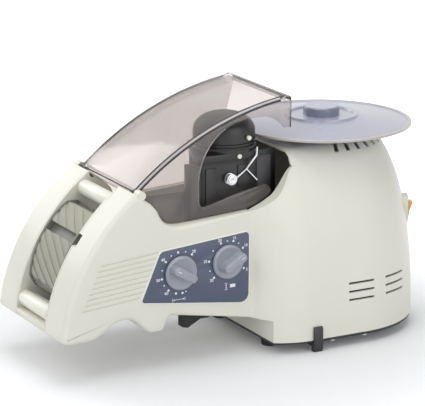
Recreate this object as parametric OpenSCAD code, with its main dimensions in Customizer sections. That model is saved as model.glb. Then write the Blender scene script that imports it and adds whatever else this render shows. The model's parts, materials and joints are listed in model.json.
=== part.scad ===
// Electric carousel tape dispenser, in millimetres.
// +Z is up, the nose points to -X, the dial panel is on -Y, and the origin is on the table
// under the middle of the machine's length.

/* [Body] */
// Length of the nose, from its tip to the front of the waist
nose_length = 117; // [112:1:122]
// Length of the waist, from the nose to the seam with the rear housing
waist_length = 92; // [88:1:100]
// Distance from that seam to the axis of the reel
seam_to_reel = 120; // [116:1:126]
// Half width of the nose at its tip
nose_half_width = 76; // [74:0.5:79]
// Half width of the body at the seam
seam_half_width = 68; // [67:0.5:70]
// Thickness of the moulded walls
wall = 3; // [2.4:0.2:3.4]
// Radius of the curved front face of the nose
face_radius = 200; // [185:1:220]
// Height of the underside of the chin
chin_z = 41; // [38:1:44]
// Height of the rim under the hood, at the waist
rim_z = 142; // [140:0.5:144]
// Height of the body's rim at the seam
rim_seam_z = 146.6; // [145.5:0.1:148]

/* [Rear housing] */
// Radius of the rear housing at its base
bell_base_radius = 95; // [92:0.5:97]
// Radius of the flat top of the rear housing
bell_top_radius = 44; // [40:0.5:48]
// Height of the flat top of the rear housing
bell_top_z = 200; // [198:0.5:202]
// Height of the lower edge of the rear housing
bell_edge_z = 12; // [11:0.5:14]
// Thickness of the base plate
base_plate_t = 3; // [2:0.5:4]
// Radius of the rubber feet
foot_radius = 9; // [7:0.5:11]
// Length of one cooling slot
vent_length = 30; // [24:1:32]
// Height of one cooling slot
vent_height = 2.2; // [1.6:0.1:3]

/* [Reel] */
// Radius of the reel platter
platter_radius = 92; // [86:0.5:95]
// Height of the platter's top face above the flat top of the rear housing
platter_lift = 12; // [10.5:0.5:15]
// Thickness of the platter's rim
platter_rim_t = 4; // [3:0.25:4.5]
// Radius of the hub that takes a 38 mm tape core
hub_radius = 18.5; // [17:0.25:18.75]
// Rise of the platter's cone from its rim to its middle
platter_rise = 6; // [4:0.5:7]
// Height of the hub's top above the platter's rim
hub_height = 15; // [13:0.5:18]
// Outer radius of the ring that takes a 76 mm tape core
core_ring_radius = 37.5; // [35:0.25:37.75]
// Radius of the fixed reel spindle
spindle_radius = 5; // [4:0.25:6]

/* [Carousel] */
// Half of the clear width between the nose arms
bay_half_width = 33.5; // [31:0.5:35]
// Distance from the nose tip back to the carousel axis
carousel_setback = 62; // [61:0.5:63]
// Height of the carousel axis
carousel_z = 102; // [101:0.5:103]
// Radius of the circle swept by the carousel's corners
carousel_sweep = 54; // [51:0.5:54.5]
// Radius of the carousel shaft
shaft_radius = 4; // [3:0.25:5]
// Radius of the guide rollers
guide_roller_radius = 8; // [6.5:0.25:8.5]
// Radius of the pulleys that drive the carousel
pulley_radius = 14; // [12:0.5:16]

/* [Hood] */
// Half width of the hood
hood_half_width = 61; // [59:0.5:61.5]
// Thickness of the hood's sheet
hood_t = 2.5; // [2:0.1:3]
// Radius of the hood's crown in side view
crown_radius = 306; // [290:1:330]
// Height of the top of the hood at its open end
crown_z = 257; // [254:0.5:260]
// Radius of the hinge barrel at the hood's front edge
barrel_radius = 4; // [3.6:0.1:4.3]
// Radius of the hood's hinge pins
pin_radius = 2; // [1.5:0.1:2.4]

/* [Dials] */
// Radius of the dial knobs
knob_radius = 17.5; // [15:0.5:18.5]
// Height of a knob's skirt
knob_skirt = 4; // [3:0.25:6]
// Height of a knob's grip bar
grip_height = 12; // [8:0.5:14]
// Thickness of the dial panel
panel_t = 1.2; // [0.8:0.1:1.6]

/* [Feed head] */
// Radius of the feed roller and of the press roller
feed_roller_radius = 12.85; // [11:0.25:13.5]
// Distance from the hood's crown down to the feed frame's upper plate
plate_drop = 61; // [57:1:67]
// Radius of the drum cover over the feed rollers
drum_radius = 31; // [28:0.5:32]
// Height of the drum cover
drum_height = 35; // [32:0.5:35.5]

/* [Switch] */
// Width of the rocker
rocker_width = 11; // [9:0.5:13]
// Angle of the rocker each side of the middle
rocker_tilt = 14; // [8:1:16]

/* [Hidden] */
$fn = 64;

// Clearances
running = 0.05;
slide = 0.3;
joint_gap = 0.8;

// Main places along the machine
overall_length = nose_length + waist_length + seam_to_reel + bell_base_radius;
tip_x = -overall_length / 2;
waist_x = tip_x + nose_length;
seam_x = waist_x + waist_length;
reel_x = seam_x + seam_to_reel;

// Taper of the side walls, as seen from above
taper_slope = (nose_half_width - seam_half_width) / (seam_x - tip_x);
taper = atan(taper_slope);
function outer(x) = nose_half_width - taper_slope * (x - tip_x);

// Nose: the front face is one arc from the hood's edge to the chin
face_top = [tip_x + 82, 180];
face_low = [tip_x, chin_z + 5];
arch_z = chin_z + 15.5;
nub_z = chin_z - 2.4;
waist_low_z = chin_z + 12;
seam_low_z = chin_z - 3.5;
hinge_x = tip_x + 88;
hinge_z = 178;
ear_radius = barrel_radius + 0.4;
cheek = wall;

// Carousel bay
carousel_x = tip_x + carousel_setback;
face_angle = 149.3;
flange_t = 2;
flange_proud = 0.8;
pad_t = 3;
rib_depth = 0.9;
pad_gap = 10;
rotor_half = bay_half_width - 1;
cradle_gap = 2;
bearing_radius = shaft_radius + 4;
top_roller = [tip_x + 76.5, 164.5];
low_roller = [tip_x + 10.5, 60];
axle_radius = 2;
cradle_radius = carousel_sweep + cradle_gap;
cradle_t = 2.5;
sensor_z = 133;
sensor_front_x = tip_x + 41;

// Carousel drive
motor_x = waist_x + 26;
motor_z = 90;
motor_radius = 17;
motor_shaft_radius = 3;
motor_face_gap = 5;
belt_t = 1.6;
belt_width = 7;
belt_y = -bay_half_width - 11.5;
motor_face_y = belt_y + belt_width / 2 + motor_face_gap;

// Deck under the feed head
deck_z = rim_z - 4;
deck_t = 3;
deck_half = hood_half_width + 0.5;
well_half = 58;
deck_rear_x = seam_x + 47;

// Rear housing
flare_length = 58;
flare_end_x = seam_x + flare_length;
dome_front_x = seam_x + 48;
dome_front_z = 186;
front_wall_x = seam_x + 18;
rim_inner = hood_half_width + 1;
base_z = bell_edge_z - base_plate_t;
foot_y = bell_base_radius - 43;
foot_places = [[front_wall_x + foot_radius + 4, foot_y], [reel_x + bell_base_radius - 47, foot_y]];
shoulder_z = bell_top_z - 10;
shoulder_radius = 62;
function bez(a, b, c, d, n) =
    [for (i = [0:n]) let (t = i / n, s = 1 - t)
        s * s * s * a + 3 * s * s * t * b + 3 * s * t * t * c + t * t * t * d];
bell_profile = concat(
    bez([bell_base_radius, bell_edge_z], [bell_base_radius, 80], [bell_base_radius - 7, 150],
        [shoulder_radius, shoulder_z], 14),
    bez([shoulder_radius, shoulder_z], [56, bell_top_z - 1], [50, bell_top_z],
        [bell_top_radius, bell_top_z], 5));
bell_table = [for (p = bell_profile) [p[1], p[0]]];
function bell_half(z) = lookup(z, bell_table);

// Flare between the waist and the rear housing
function fold(u) = let (k = min(1, u / 0.12)) k * (2 - k);
function ease(u) = (1 - pow(max(0, 1 - u), 2.2)) * fold(u);
function flare_half(x, z) =
    outer(x) + (bell_half(z) - outer(flare_end_x)) * ease((x - seam_x) / flare_length);
rim_points = [[seam_x, rim_seam_z], [seam_x + 14, 152], [seam_x + 27, 159], [seam_x + 33, 166],
    [seam_x + 43, 181], [dome_front_x, dome_front_z], [flare_end_x, dome_front_z]];
function flare_top(x) = lookup(x, rim_points);
floor_slope = 0.17;
step_low_z = seam_low_z - (front_wall_x - seam_x) * floor_slope;

// Reel
felt_t = 3;
felt_radius = 30;
platter_top_z = bell_top_z + platter_lift;
platter_low_z = platter_top_z - platter_rim_t;
platter_mid_z = platter_top_z - 0.4 + platter_rise;
felt_z = platter_low_z - slide - felt_t;
spindle_top_z = platter_top_z + hub_height - 4;

// Hood
hood_rear_x = reel_x - 70;
crown_rear = [hood_rear_x - 5.5, crown_z];
crown_front = [hinge_x, hinge_z + barrel_radius];
hood_span = hood_rear_x - hinge_x;
hood_rise = crown_z - rim_z;
function arch(back, up) = [hood_rear_x - back * hood_span / 171, rim_z + up * hood_rise / 115];

// Feed head
feed_x = reel_x - 139;
feed_y = -28;
press_y = feed_y + 2 * feed_roller_radius + slide;
feed_front_x = feed_x - 26;
feed_slant_x = feed_x - 4;
feed_rear_x = feed_x + 36;
feed_near_y = -50;
feed_far_y = 16;
feed_wall = 4;
feed_plate_t = 7;
cutter_depth = 14;
feed_plate_z = crown_z - plate_drop;
head_rise = feed_plate_z - deck_z;
journal_radius = 3;
drum_x = feed_x + 14;
drum_y = -22;
screw_place = [feed_x + 5, feed_plate_z - 18.5];

// Dials: places on the near wall
length_dial = [tip_x + 128.8, 96.3];
width_dial = [tip_x + 181.9, 99.6];
length_angle = 150;
width_angle = 30.5;
dial_shaft_radius = 3;

// Switch
switch_angle = -27;
switch_z = 118;
rocker_half = 9.5;
rocker_face = 9;
trunnion_radius = 1.5;
bezel_half = 14;
bezel_half_width = rocker_width / 2 + 2;
bezel_wall = 1.6;
bezel_face = round(bell_half(switch_z) + 3);
rocker_pivot = bezel_face - 6;
inlet_radius = 6;
inlet_z = 40;

// Electrics
board_z = bell_edge_z + 12;

// Colours
cream = [0.86, 0.855, 0.80];
slate = [0.35, 0.39, 0.48];
knob_grey = [0.51, 0.52, 0.57];
smoke = [0.35, 0.31, 0.29, 0.6];
lavender = [0.73, 0.74, 0.81];
warm_grey = [0.74, 0.73, 0.66];
black = [0.08, 0.08, 0.09];
steel = [0.7, 0.71, 0.73];
white = [0.93, 0.93, 0.9];
orange = [0.88, 0.56, 0.16];

// Extrudes an outline drawn in X and Z along Y
module along_y(y0, y1) {
    translate([0, y1, 0]) rotate([90, 0, 0]) linear_extrude(y1 - y0) children();
}

// A round bar along Y
module bar_y(x, z, r, y0, y1) {
    translate([x, y0, z]) rotate([-90, 0, 0]) cylinder(r = r, h = y1 - y0);
}

// Places its children on the near wall: x runs along the wall, y is up and z is outwards
module on_wall(place) {
    translate([place[0], -outer(place[0]), place[1]]) rotate([90, 0, taper]) children();
}

module mirrored() {
    children();
    mirror([0, 1, 0]) children();
}

function arc(c, r, a0, a1, n) = [for (i = [0:n]) let (a = a0 + (a1 - a0) * i / n) c + r * [cos(a), sin(a)]];
function direction(v) = let (a = atan2(v[1], v[0])) a < 0 ? a + 360 : a;
function centre_right(a, b, r) =
    let (d = b - a, h = norm(d) / 2) (a + b) / 2 + [-d[1], d[0]] / norm(d) * sqrt(r * r - h * h);

// Body: side outline of the nose and waist, moved inwards by t
function rim_line(t) = concat(
    [[seam_x, rim_seam_z + t], [tip_x + 133, rim_z + t]],
    bez([tip_x + 133, rim_z + t], [tip_x + 115, rim_z + t], [tip_x + 110, rim_z + 8 + t],
        [tip_x + 106, rim_z + 18 + t], 8),
    [[tip_x + 99, rim_z + 26 + t]]);
function underside(t) = concat(
    bez([tip_x + 29, chin_z + t], [tip_x + 44, chin_z + t],
        [tip_x + 52, arch_z + t], [tip_x + 69, arch_z + t], 8),
    bez([tip_x + 69, arch_z + t], [tip_x + 84, arch_z + t],
        [tip_x + 90, nub_z + t], [tip_x + 100, nub_z + t], 8),
    bez([tip_x + 108, nub_z + t], [tip_x + 115, nub_z + t], [tip_x + 114, waist_low_z + t],
        [tip_x + 121, waist_low_z + t], 6),
    [[seam_x, seam_low_z + t]]);
face_centre = centre_right(face_top, face_low, face_radius);
function face_arc(t) = arc(face_centre, face_radius - t, direction(face_top - face_centre),
    direction(face_low - face_centre), 18);
function chin_curve(t) = let (p = face_arc(t)[18])
    bez(p, [p[0], chin_z + 2 + t], [tip_x + 4 + t, chin_z + t], [tip_x + 9 + t, chin_z + t], 4);
function clean(points) = [for (i = [0:len(points) - 1])
    if (norm(points[i] - points[(i + 1) % len(points)]) > 0.01) points[i]];
function body_outline(t) = clean(concat(face_arc(t), chin_curve(t), underside(t), rim_line(-t)));

// Body: a wedge as wide as the tapered walls, moved inwards by t, from y_in outwards on the near side
module wall_wedge(t, y_in, x0, x1) {
    linear_extrude(crown_z)
        polygon([[x0, -y_in], [x0, -outer(x0) + t], [x1, -outer(x1) + t], [x1, -y_in]]);
}

// Half of the nose and waist, on the near side
module half_housing() {
    difference() {
        union() {
            intersection() {
                along_y(-nose_half_width - 1, 0) polygon(body_outline(0));
                union() {
                    wall_wedge(0, bay_half_width, tip_x - 1, waist_x);
                    difference() {
                        wall_wedge(0, 0, waist_x, seam_x);
                        bar_y(carousel_x, carousel_z, cradle_radius + cradle_t + slide, -bay_half_width, 1);
                    }
                }
            }
            intersection() {
                bar_y(hinge_x, hinge_z, ear_radius, -nose_half_width, -rim_inner);
                wall_wedge(0, 0, tip_x, seam_x);
            }
        }
        intersection() {
            along_y(-nose_half_width - 1, 1) polygon(body_outline(wall));
            union() {
                wall_wedge(wall, bay_half_width + cheek, tip_x - 1, waist_x - 6);
                intersection() {
                    union() {
                        wall_wedge(wall, bay_half_width + cheek, waist_x - 6.5, waist_x + cheek + 0.5);
                        wall_wedge(wall, -1, waist_x + cheek, seam_x + 1);
                    }
                    translate([tip_x, -nose_half_width, 0])
                        cube([overall_length, nose_half_width + 2, deck_z]);
                }
            }
        }
        translate([waist_x + cheek, -well_half, deck_z - deck_t]) cube([waist_length, well_half + 1, 30]);
        bar_y(hinge_x, hinge_z, barrel_radius + 1.5, -rim_inner, 1);
        bar_y(hinge_x, hinge_z, pin_radius, -nose_half_width + 6, 1);
        bar_y(carousel_x, carousel_z, bearing_radius, -bay_half_width - cheek - 1, 1);
        for (p = [top_roller, low_roller])
            bar_y(p[0], p[1], axle_radius, -bay_half_width - cheek - 1, 1);
        for (i = [0:8]) rib_groove(i);
    }
}

// Nine shallow grooves on the side of the nose
module rib_groove(i) {
    low = [tip_x + 21.6, chin_z + 31.8];
    pitch = [2.57, 5.32];
    groove_length = 63.3 - 0.1 * i;
    groove_tilt = 4.1;
    groove_width = 1.7;
    on_wall(low + i * pitch) rotate(groove_tilt)
        translate([0, -groove_width / 2, -0.9]) cube([groove_length, groove_width, 2]);
}

// Dial panel outline, drawn on the wall about the length dial
module panel_outline() {
    corners = [[-39.8, -22.3], [68.9, -32.4], [73.7, 26.2], [-17.8, 18]];
    radii = [2.5, 8.5, 4, 6];
    hull() for (i = [0:3]) translate(corners[i]) circle(radii[i], $fn = 32);
}

module right_housing() {
    color(cream) difference() {
        half_housing();
        translate([sensor_front_x - 12, -bay_half_width - 8, sensor_z - 5.5])
            cube([24, 10, 11]);
        for (d = [length_dial, width_dial])
            on_wall(d) translate([0, 0, -20]) cylinder(r = dial_shaft_radius + 1, h = 30);
    }
}

module left_housing() {
    color(cream) mirror([0, 1, 0]) half_housing();
}

// Bar across the front of the nose, under the lower roller
module chin_bar() {
    top_z = low_roller[1] - guide_roller_radius - 1.2;
    color(cream) along_y(-bay_half_width, bay_half_width)
        difference() {
            intersection() {
                polygon(body_outline(0));
                translate([tip_x - 1, 0]) square([31, top_z]);
            }
            translate([carousel_x, carousel_z]) circle(cradle_radius + cradle_t + slide);
        }
}

// Trough round the back and underside of the carousel
module carousel_cradle() {
    sweep_low = 224;
    sweep_high = 372;
    color(cream) along_y(-bay_half_width, bay_half_width)
        translate([carousel_x, carousel_z]) difference() {
            circle(cradle_radius + cradle_t);
            circle(cradle_radius);
            polygon(concat([[0, 0]], [for (i = [0:6])
                90 * [cos(sweep_high + (sweep_low + 360 - sweep_high) * i / 6),
                    sin(sweep_high + (sweep_low + 360 - sweep_high) * i / 6)]]));
        }
}

module deck_plate() {
    color(black) difference() {
        translate([waist_x + cheek, 0, deck_z - deck_t]) linear_extrude(deck_t)
            polygon([[0, -deck_half], [deck_rear_x - waist_x - cheek, -deck_half],
                [deck_rear_x - waist_x - cheek, deck_half], [0, deck_half]]);
        translate([feed_x, feed_y, deck_z - deck_t - 1]) cylinder(r = journal_radius + 2, h = deck_t + 2);
    }
}

// Rubber pads under the waist
module rest_pads() {
    pad_length = 30;
    pad_y = 50;
    color(black) mirrored() intersection() {
        along_y(-pad_y - 5, -pad_y + 5)
            polygon([[tip_x + 140, 20], [tip_x + 140 + pad_length, 20],
                [tip_x + 140 + pad_length, waist_low_z], [tip_x + 140, waist_low_z]]);
        difference() {
            along_y(-pad_y - 6, -pad_y + 6)
                polygon([[tip_x + 140, nub_z - 5], [tip_x + 146, nub_z - 6.5], [tip_x + 160, nub_z + 1],
                    [tip_x + 170, nub_z + 1], [tip_x + 170, 70], [tip_x + 140, 70]]);
            along_y(-pad_y - 7, -pad_y + 7)
                polygon(concat([for (p = underside(0)) p], [[seam_x, 90], [tip_x + 29, 90]]));
        }
    }
}

module control_panel() {
    color(slate) difference() {
        on_wall(length_dial) linear_extrude(panel_t) panel_outline();
        for (d = [length_dial, width_dial])
            on_wall(d) translate([0, 0, -1]) cylinder(r = dial_shaft_radius + 1, h = panel_t + 2);
    }
}

// Knob with a skirt and a grip bar, pointing along x
module knob() {
    grip_ends = [10 - knob_radius, knob_radius - 6.3];
    color(knob_grey) translate([0, 0, panel_t + slide]) difference() {
        union() {
            cylinder(r1 = knob_radius, r2 = knob_radius - 1.5, h = knob_skirt);
            hull() for (x = grip_ends) translate([x, 0, knob_skirt - 0.5]) {
                cylinder(r = 5.3, h = 0.1, $fn = 24);
                cylinder(r = 4.3, h = grip_height, $fn = 24);
            }
        }
        translate([0, 0, -1]) cylinder(r = dial_shaft_radius, h = knob_skirt + 3);
    }
}

module dial_shaft() {
    sunk = 3;
    color(steel) translate([0, 0, -wall - sunk])
        cylinder(r = dial_shaft_radius, h = sunk + wall + panel_t + slide + knob_skirt + 2);
}

module potentiometer() {
    depth = 12;
    bore_depth = 3.2;
    color(black) difference() {
        union() {
            translate([0, 0, -wall - depth]) cylinder(r = 8, h = depth);
            translate([-5, -13, -wall - depth + 1]) cube([10, 8, 2]);
            translate([0, 0, -wall]) cylinder(r = dial_shaft_radius + 0.8, h = wall + panel_t);
        }
        translate([0, 0, -wall - bore_depth])
            cylinder(r = dial_shaft_radius + running, h = bore_depth + wall + panel_t + 1);
    }
}

module length_knob() { on_wall(length_dial) rotate(length_angle) knob(); }
module width_knob() { on_wall(width_dial) rotate(width_angle) knob(); }
module length_shaft() { on_wall(length_dial) dial_shaft(); }
module width_shaft() { on_wall(width_dial) dial_shaft(); }
module length_potentiometer() { on_wall(length_dial) potentiometer(); }
module width_potentiometer() { on_wall(width_dial) potentiometer(); }

// Rear housing: its section, moved inwards by t
module bell_section(t) {
    polygon(concat([[0, bell_edge_z - t]], [[bell_base_radius - t, bell_edge_z - t]],
        [for (p = bell_profile) [p[0] - (p[1] < bell_top_z - 0.5 ? t : 0), min(p[1], bell_top_z - t)]],
        [[0, bell_top_z - t]]));
}

module bell_solid(t) {
    intersection() {
        translate([reel_x, 0, 0]) rotate_extrude($fn = 128) bell_section(t);
        translate([reel_x, -150, 0]) cube([150, 300, 300]);
    }
    translate([flare_end_x, 0, 0]) rotate([90, 0, 90]) linear_extrude(reel_x - flare_end_x) {
        bell_section(t);
        mirror([1, 0]) bell_section(t);
    }
}

module dome_front(t, extra) {
    translate([dome_front_x - extra, 0, 0]) rotate([90, 0, 90])
        linear_extrude(flare_end_x - dome_front_x + 2 * extra) intersection() {
            union() {
                bell_section(t);
                mirror([1, 0]) bell_section(t);
            }
            translate([-100, dome_front_z]) square([200, 50]);
        }
}

// Curved side wall between two places along the machine, on the far side
module flare_wall(x0, x1, nx, nz) {
    function thick(v, half) = wall + max(0, half - rim_inner - wall) * max(0, min(1, (v - 0.85) / 0.1));
    function low(x) = x0 < front_wall_x ? seam_low_z - (x - seam_x) * floor_slope : bell_edge_z;
    function at(i, j, inside) =
        let (x = x0 + (x1 - x0) * i / nx, z = low(x) + (flare_top(x) - low(x)) * j / nz,
            half = flare_half(x, z))
        [x, half - (inside ? thick(j / nz, half) : 0), z];
    rows = nz + 1;
    count = (nx + 1) * rows;
    points = concat([for (i = [0:nx], j = [0:nz]) at(i, j, false)],
        [for (i = [0:nx], j = [0:nz]) at(i, j, true)]);
    function quad(a, b, c, d) = [[a, c, b], [a, d, c]];
    skins = [for (i = [0:nx - 1], j = [0:nz - 1]) let (a = i * rows + j, b = a + rows)
        each concat(quad(a, a + 1, b + 1, b), quad(count + a, count + b, count + b + 1, count + a + 1))];
    ends = [for (j = [0:nz - 1]) let (b = nx * rows + j)
        each concat(quad(j, count + j, count + j + 1, j + 1), quad(b, b + 1, count + b + 1, count + b))];
    rims = [for (i = [0:nx - 1]) let (a = i * rows, b = a + rows)
        each concat(quad(a, b, count + b, count + a),
            quad(a + nz, count + a + nz, count + b + nz, b + nz))];
    polyhedron(points, concat(skins, ends, rims));
}

// A group of three cooling slots, seen from the reel axis at an angle
module vent_group(angle, x_shift) {
    translate([reel_x + x_shift, 0, 0]) rotate(angle)
        for (i = [-1:1]) translate([-vent_length / 2, -bell_base_radius - 5, 56 + 8.5 * i - vent_height / 2])
            cube([vent_length, 20, vent_height]);
}

module screw_places() {
    boss_place = bell_base_radius - wall - 3;
    for (s = [-1, 1]) {
        translate([flare_end_x + 24, s * boss_place, 0]) children();
        translate([reel_x, s * boss_place, 0]) children();
        translate([reel_x + boss_place * cos(40), s * boss_place * sin(40), 0]) children();
    }
}

// Floor under the flare and the step down to the base, as wide as the flare
module flare_floor() {
    steps = 8;
    function half(i) = flare_half(seam_x + (front_wall_x - seam_x) * i / steps, step_low_z) - wall / 2;
    function place(i) = seam_x + (front_wall_x - seam_x) * i / steps;
    edge = concat([for (i = [0:steps]) [place(i), half(i)]], [[front_wall_x + wall, half(steps)]]);
    intersection() {
        along_y(-bell_base_radius, bell_base_radius)
            polygon([[seam_x, seam_low_z], [front_wall_x, step_low_z], [front_wall_x, bell_edge_z],
                [front_wall_x + wall, bell_edge_z], [front_wall_x + wall, step_low_z + wall],
                [seam_x, seam_low_z + wall]]);
        linear_extrude(crown_z)
            polygon(concat(edge, [for (i = [len(edge) - 1:-1:0]) [edge[i][0], -edge[i][1]]]));
    }
}

module rear_housing() {
    slot_count = 18;
    slot_width = 4.6;
    color(cream) difference() {
        union() {
            difference() {
                union() {
                    bell_solid(0);
                    dome_front(0, 0);
                }
                bell_solid(wall);
                dome_front(wall, 1);
                translate([dome_front_x - 1, -rim_inner + 4, bell_edge_z + 3])
                    cube([flare_end_x - dome_front_x + 4, 2 * rim_inner - 8,
                        dome_front_z + 8 - bell_edge_z - 3]);
            }
            mirrored() {
                flare_wall(seam_x, front_wall_x, 8, 10);
                flare_wall(front_wall_x, flare_end_x, 10, 12);
            }
            flare_floor();
            screw_places() translate([0, 0, bell_edge_z]) cylinder(r = 4, h = 16);
        }
        for (s = [1, -1]) mirror([0, s > 0 ? 0 : 1, 0]) {
            vent_group(0, -6);
            vent_group(24, 0);
        }
        translate([reel_x, 0, 0]) for (i = [0:slot_count - 1])
            rotate(-106 + 212 * i / (slot_count - 1))
                translate([46, -slot_width / 2, shoulder_z + 2.5]) cube([20, slot_width, 10]);
        screw_places() translate([0, 0, bell_edge_z - 1]) cylinder(r = 1.55, h = 15);
        translate([reel_x, 0, bell_top_z - wall - 1]) cylinder(r = spindle_radius, h = wall + 2);
        switch_frame() translate([bezel_face - 30, -bezel_half_width, switch_z - bezel_half])
            cube([50, 2 * bezel_half_width, 2 * bezel_half]);
        inlet_frame() translate([bell_base_radius - 25, 0, 0]) rotate([0, 90, 0])
            cylinder(r = inlet_radius, h = 40);
    }
}

module switch_frame() {
    translate([reel_x, 0, 0]) rotate(switch_angle) children();
}

module inlet_frame() {
    translate([reel_x, 0, inlet_z]) children();
}

// Base
module base_outline(t) {
    translate([reel_x, 0]) circle(bell_base_radius - t);
    translate([flare_end_x, -bell_base_radius + t])
        square([reel_x - flare_end_x, 2 * bell_base_radius - 2 * t]);
    corner = flare_half(front_wall_x, bell_edge_z) - t;
    polygon([[front_wall_x + t, -corner], [flare_end_x + 0.1, -bell_base_radius + t],
        [flare_end_x + 0.1, bell_base_radius - t], [front_wall_x + t, corner]]);
}

module base_plate() {
    color(black) translate([0, 0, base_z]) difference() {
        linear_extrude(base_plate_t) base_outline(1);
        screw_places() translate([0, 0, -1]) cylinder(r = 1.8, h = base_plate_t + 2);
    }
}

module base_feet() {
    color(black) for (p = foot_places)
        for (s = [-1, 1]) translate([p[0], s * p[1], 0])
            cylinder(r1 = foot_radius - 1, r2 = foot_radius, h = base_z);
}

module base_screws() {
    color(steel) screw_places() {
        translate([0, 0, base_z - 2]) cylinder(r = 3.5, h = 2);
        translate([0, 0, base_z]) cylinder(r = 1.5, h = base_plate_t + 12);
    }
}

// Outrigger feet beside the rear housing
module side_brackets() {
    bracket_x = flare_end_x - 1;
    bracket_w = 10;
    leg_y = bell_base_radius + 0.4;
    color(black) mirrored() translate([bracket_x, 0, 0]) {
        translate([0, leg_y - 20, base_z - 4]) cube([bracket_w, 20, 4]);
        rotate([90, 0, 90]) linear_extrude(bracket_w)
            polygon([[leg_y - 4, 0], [leg_y + 2, 0], [leg_y + 3, 6], [leg_y + 2.4, 24], [leg_y + 1.2, 26],
                [leg_y, 26], [leg_y, base_z - 4], [leg_y - 4, base_z - 4]]);
    }
}

// Hood: side outline, with the arch on the near side alone
module hood_outline(arched) {
    near_arch = concat(
        bez(arch(25, 16.6), arch(21.5, 19.5), arch(23, 25.5), arch(29.3, 28), 5),
        [arch(58.7, 23), arch(93.8, 14)],
        bez(arch(98, 13.4), arch(103.6, 13.4), arch(103.6, 18), arch(103.6, 24), 4),
        bez(arch(103.6, 38), arch(102, 71), arch(77, 96.6), arch(44, 96.6), 12),
        bez(arch(33, 96.6), arch(22, 95), arch(14, 91), arch(8, 82.6), 6),
        [arch(0, 82.6)]);
    crown_centre = centre_right(crown_rear, crown_front, crown_radius);
    polygon(concat(
        arc(crown_centre, crown_radius, direction(crown_rear - crown_centre),
            direction(crown_front - crown_centre), 24),
        [[hinge_x + 2, hinge_z - 2]],
        [for (i = [len(rim_line(0)) - 1:-1:0]) rim_line(joint_gap)[i]],
        [for (p = rim_points) if (p[0] > seam_x && p[0] < seam_x + 26) p + [0, joint_gap]],
        arched ? near_arch : [arch(25, 16.6), arch(22, 26)],
        [[hood_rear_x, crown_z - 8]],
        bez([hood_rear_x, crown_z - 5], [hood_rear_x, crown_z - 2], [hood_rear_x - 2.5, crown_z],
            [hood_rear_x - 5, crown_z], 3)));
}

module hood_sheet() {
    crown_centre = centre_right(crown_rear, crown_front, crown_radius);
    polygon(concat(
        arc(crown_centre, crown_radius, direction(crown_rear - crown_centre),
            direction(crown_front - crown_centre), 24),
        arc(crown_centre, crown_radius - hood_t, direction(crown_front - crown_centre),
            direction(crown_rear - crown_centre), 24)));
    translate(crown_rear - [0, 6]) square([5.5, 4]);
    translate(crown_rear - [0.5, hood_t]) square([3, hood_t]);
}

module hood() {
    color(smoke) difference() {
        union() {
            along_y(-hood_half_width, hood_half_width) hood_sheet();
            along_y(-hood_half_width, -hood_half_width + hood_t) hood_outline(true);
            along_y(hood_half_width - hood_t, hood_half_width) hood_outline(false);
            bar_y(hinge_x, hinge_z, barrel_radius, -hood_half_width, hood_half_width);
        }
        mirrored() bar_y(hinge_x, hinge_z, pin_radius + running, -hood_half_width - 1, -hood_half_width + 11);
    }
}

module hood_hinge_pins() {
    color(steel) mirrored()
        bar_y(hinge_x, hinge_z, pin_radius, -nose_half_width + 6, -hood_half_width + 10);
}

// Reel
module reel_platter() {
    rim_r = platter_radius - 3;
    color(lavender) translate([reel_x, 0, 0]) rotate_extrude($fn = 128)
        polygon([[8, platter_low_z], [felt_radius + 2, platter_low_z],
            [felt_radius + 4, platter_low_z + platter_rise - 1.5], [rim_r - 5, platter_low_z],
            [rim_r, platter_low_z + 0.4], [platter_radius, platter_low_z + 1.6],
            [platter_radius, platter_top_z - 0.6], [platter_radius - 0.8, platter_top_z],
            [rim_r, platter_top_z], [rim_r - 1.5, platter_top_z - 1],
            [core_ring_radius + 1, platter_mid_z - 0.6], [core_ring_radius, platter_mid_z + 1.6],
            [core_ring_radius - 5, platter_mid_z + 1.6], [core_ring_radius - 6, platter_mid_z],
            [8, platter_mid_z]]);
}

module reel_hub() {
    top = platter_top_z + hub_height;
    bore = spindle_radius + running;
    color([0.63, 0.65, 0.73]) translate([reel_x, 0, 0]) rotate_extrude($fn = 96)
        polygon([[bore, platter_mid_z], [hub_radius, platter_mid_z],
            [hub_radius, top - 1.2], [hub_radius - 1.2, top], [0, top], [0, top - 3], [bore, top - 3]]);
}

module reel_spindle() {
    color(steel) translate([reel_x, 0, 0]) {
        translate([0, 0, bell_top_z - wall - 4]) cylinder(r = spindle_radius + 6, h = 4);
        translate([0, 0, bell_top_z - wall])
            cylinder(r = spindle_radius, h = spindle_top_z - bell_top_z + wall);
    }
}

module felt_washer() {
    color([0.25, 0.25, 0.27]) translate([reel_x, 0, felt_z]) difference() {
        union() {
            cylinder(r = felt_radius, h = felt_t);
            translate([0, 0, bell_top_z - felt_z]) cylinder(r = 22, h = felt_z - bell_top_z);
        }
        translate([0, 0, -10]) cylinder(r = spindle_radius + 0.5, h = 20);
    }
}

// Carousel: a three-sided wheel of constant width, moved inwards by t
module rotor_section(t) {
    width = (carousel_sweep - flange_proud) * sqrt(3);
    intersection_for(k = [0:2]) rotate(face_angle + 120 * k + 180)
        translate([carousel_sweep - flange_proud, 0]) circle(width - t, $fn = 160);
}

module at_carousel() { translate([carousel_x, 0, carousel_z]) children(); }

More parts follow.
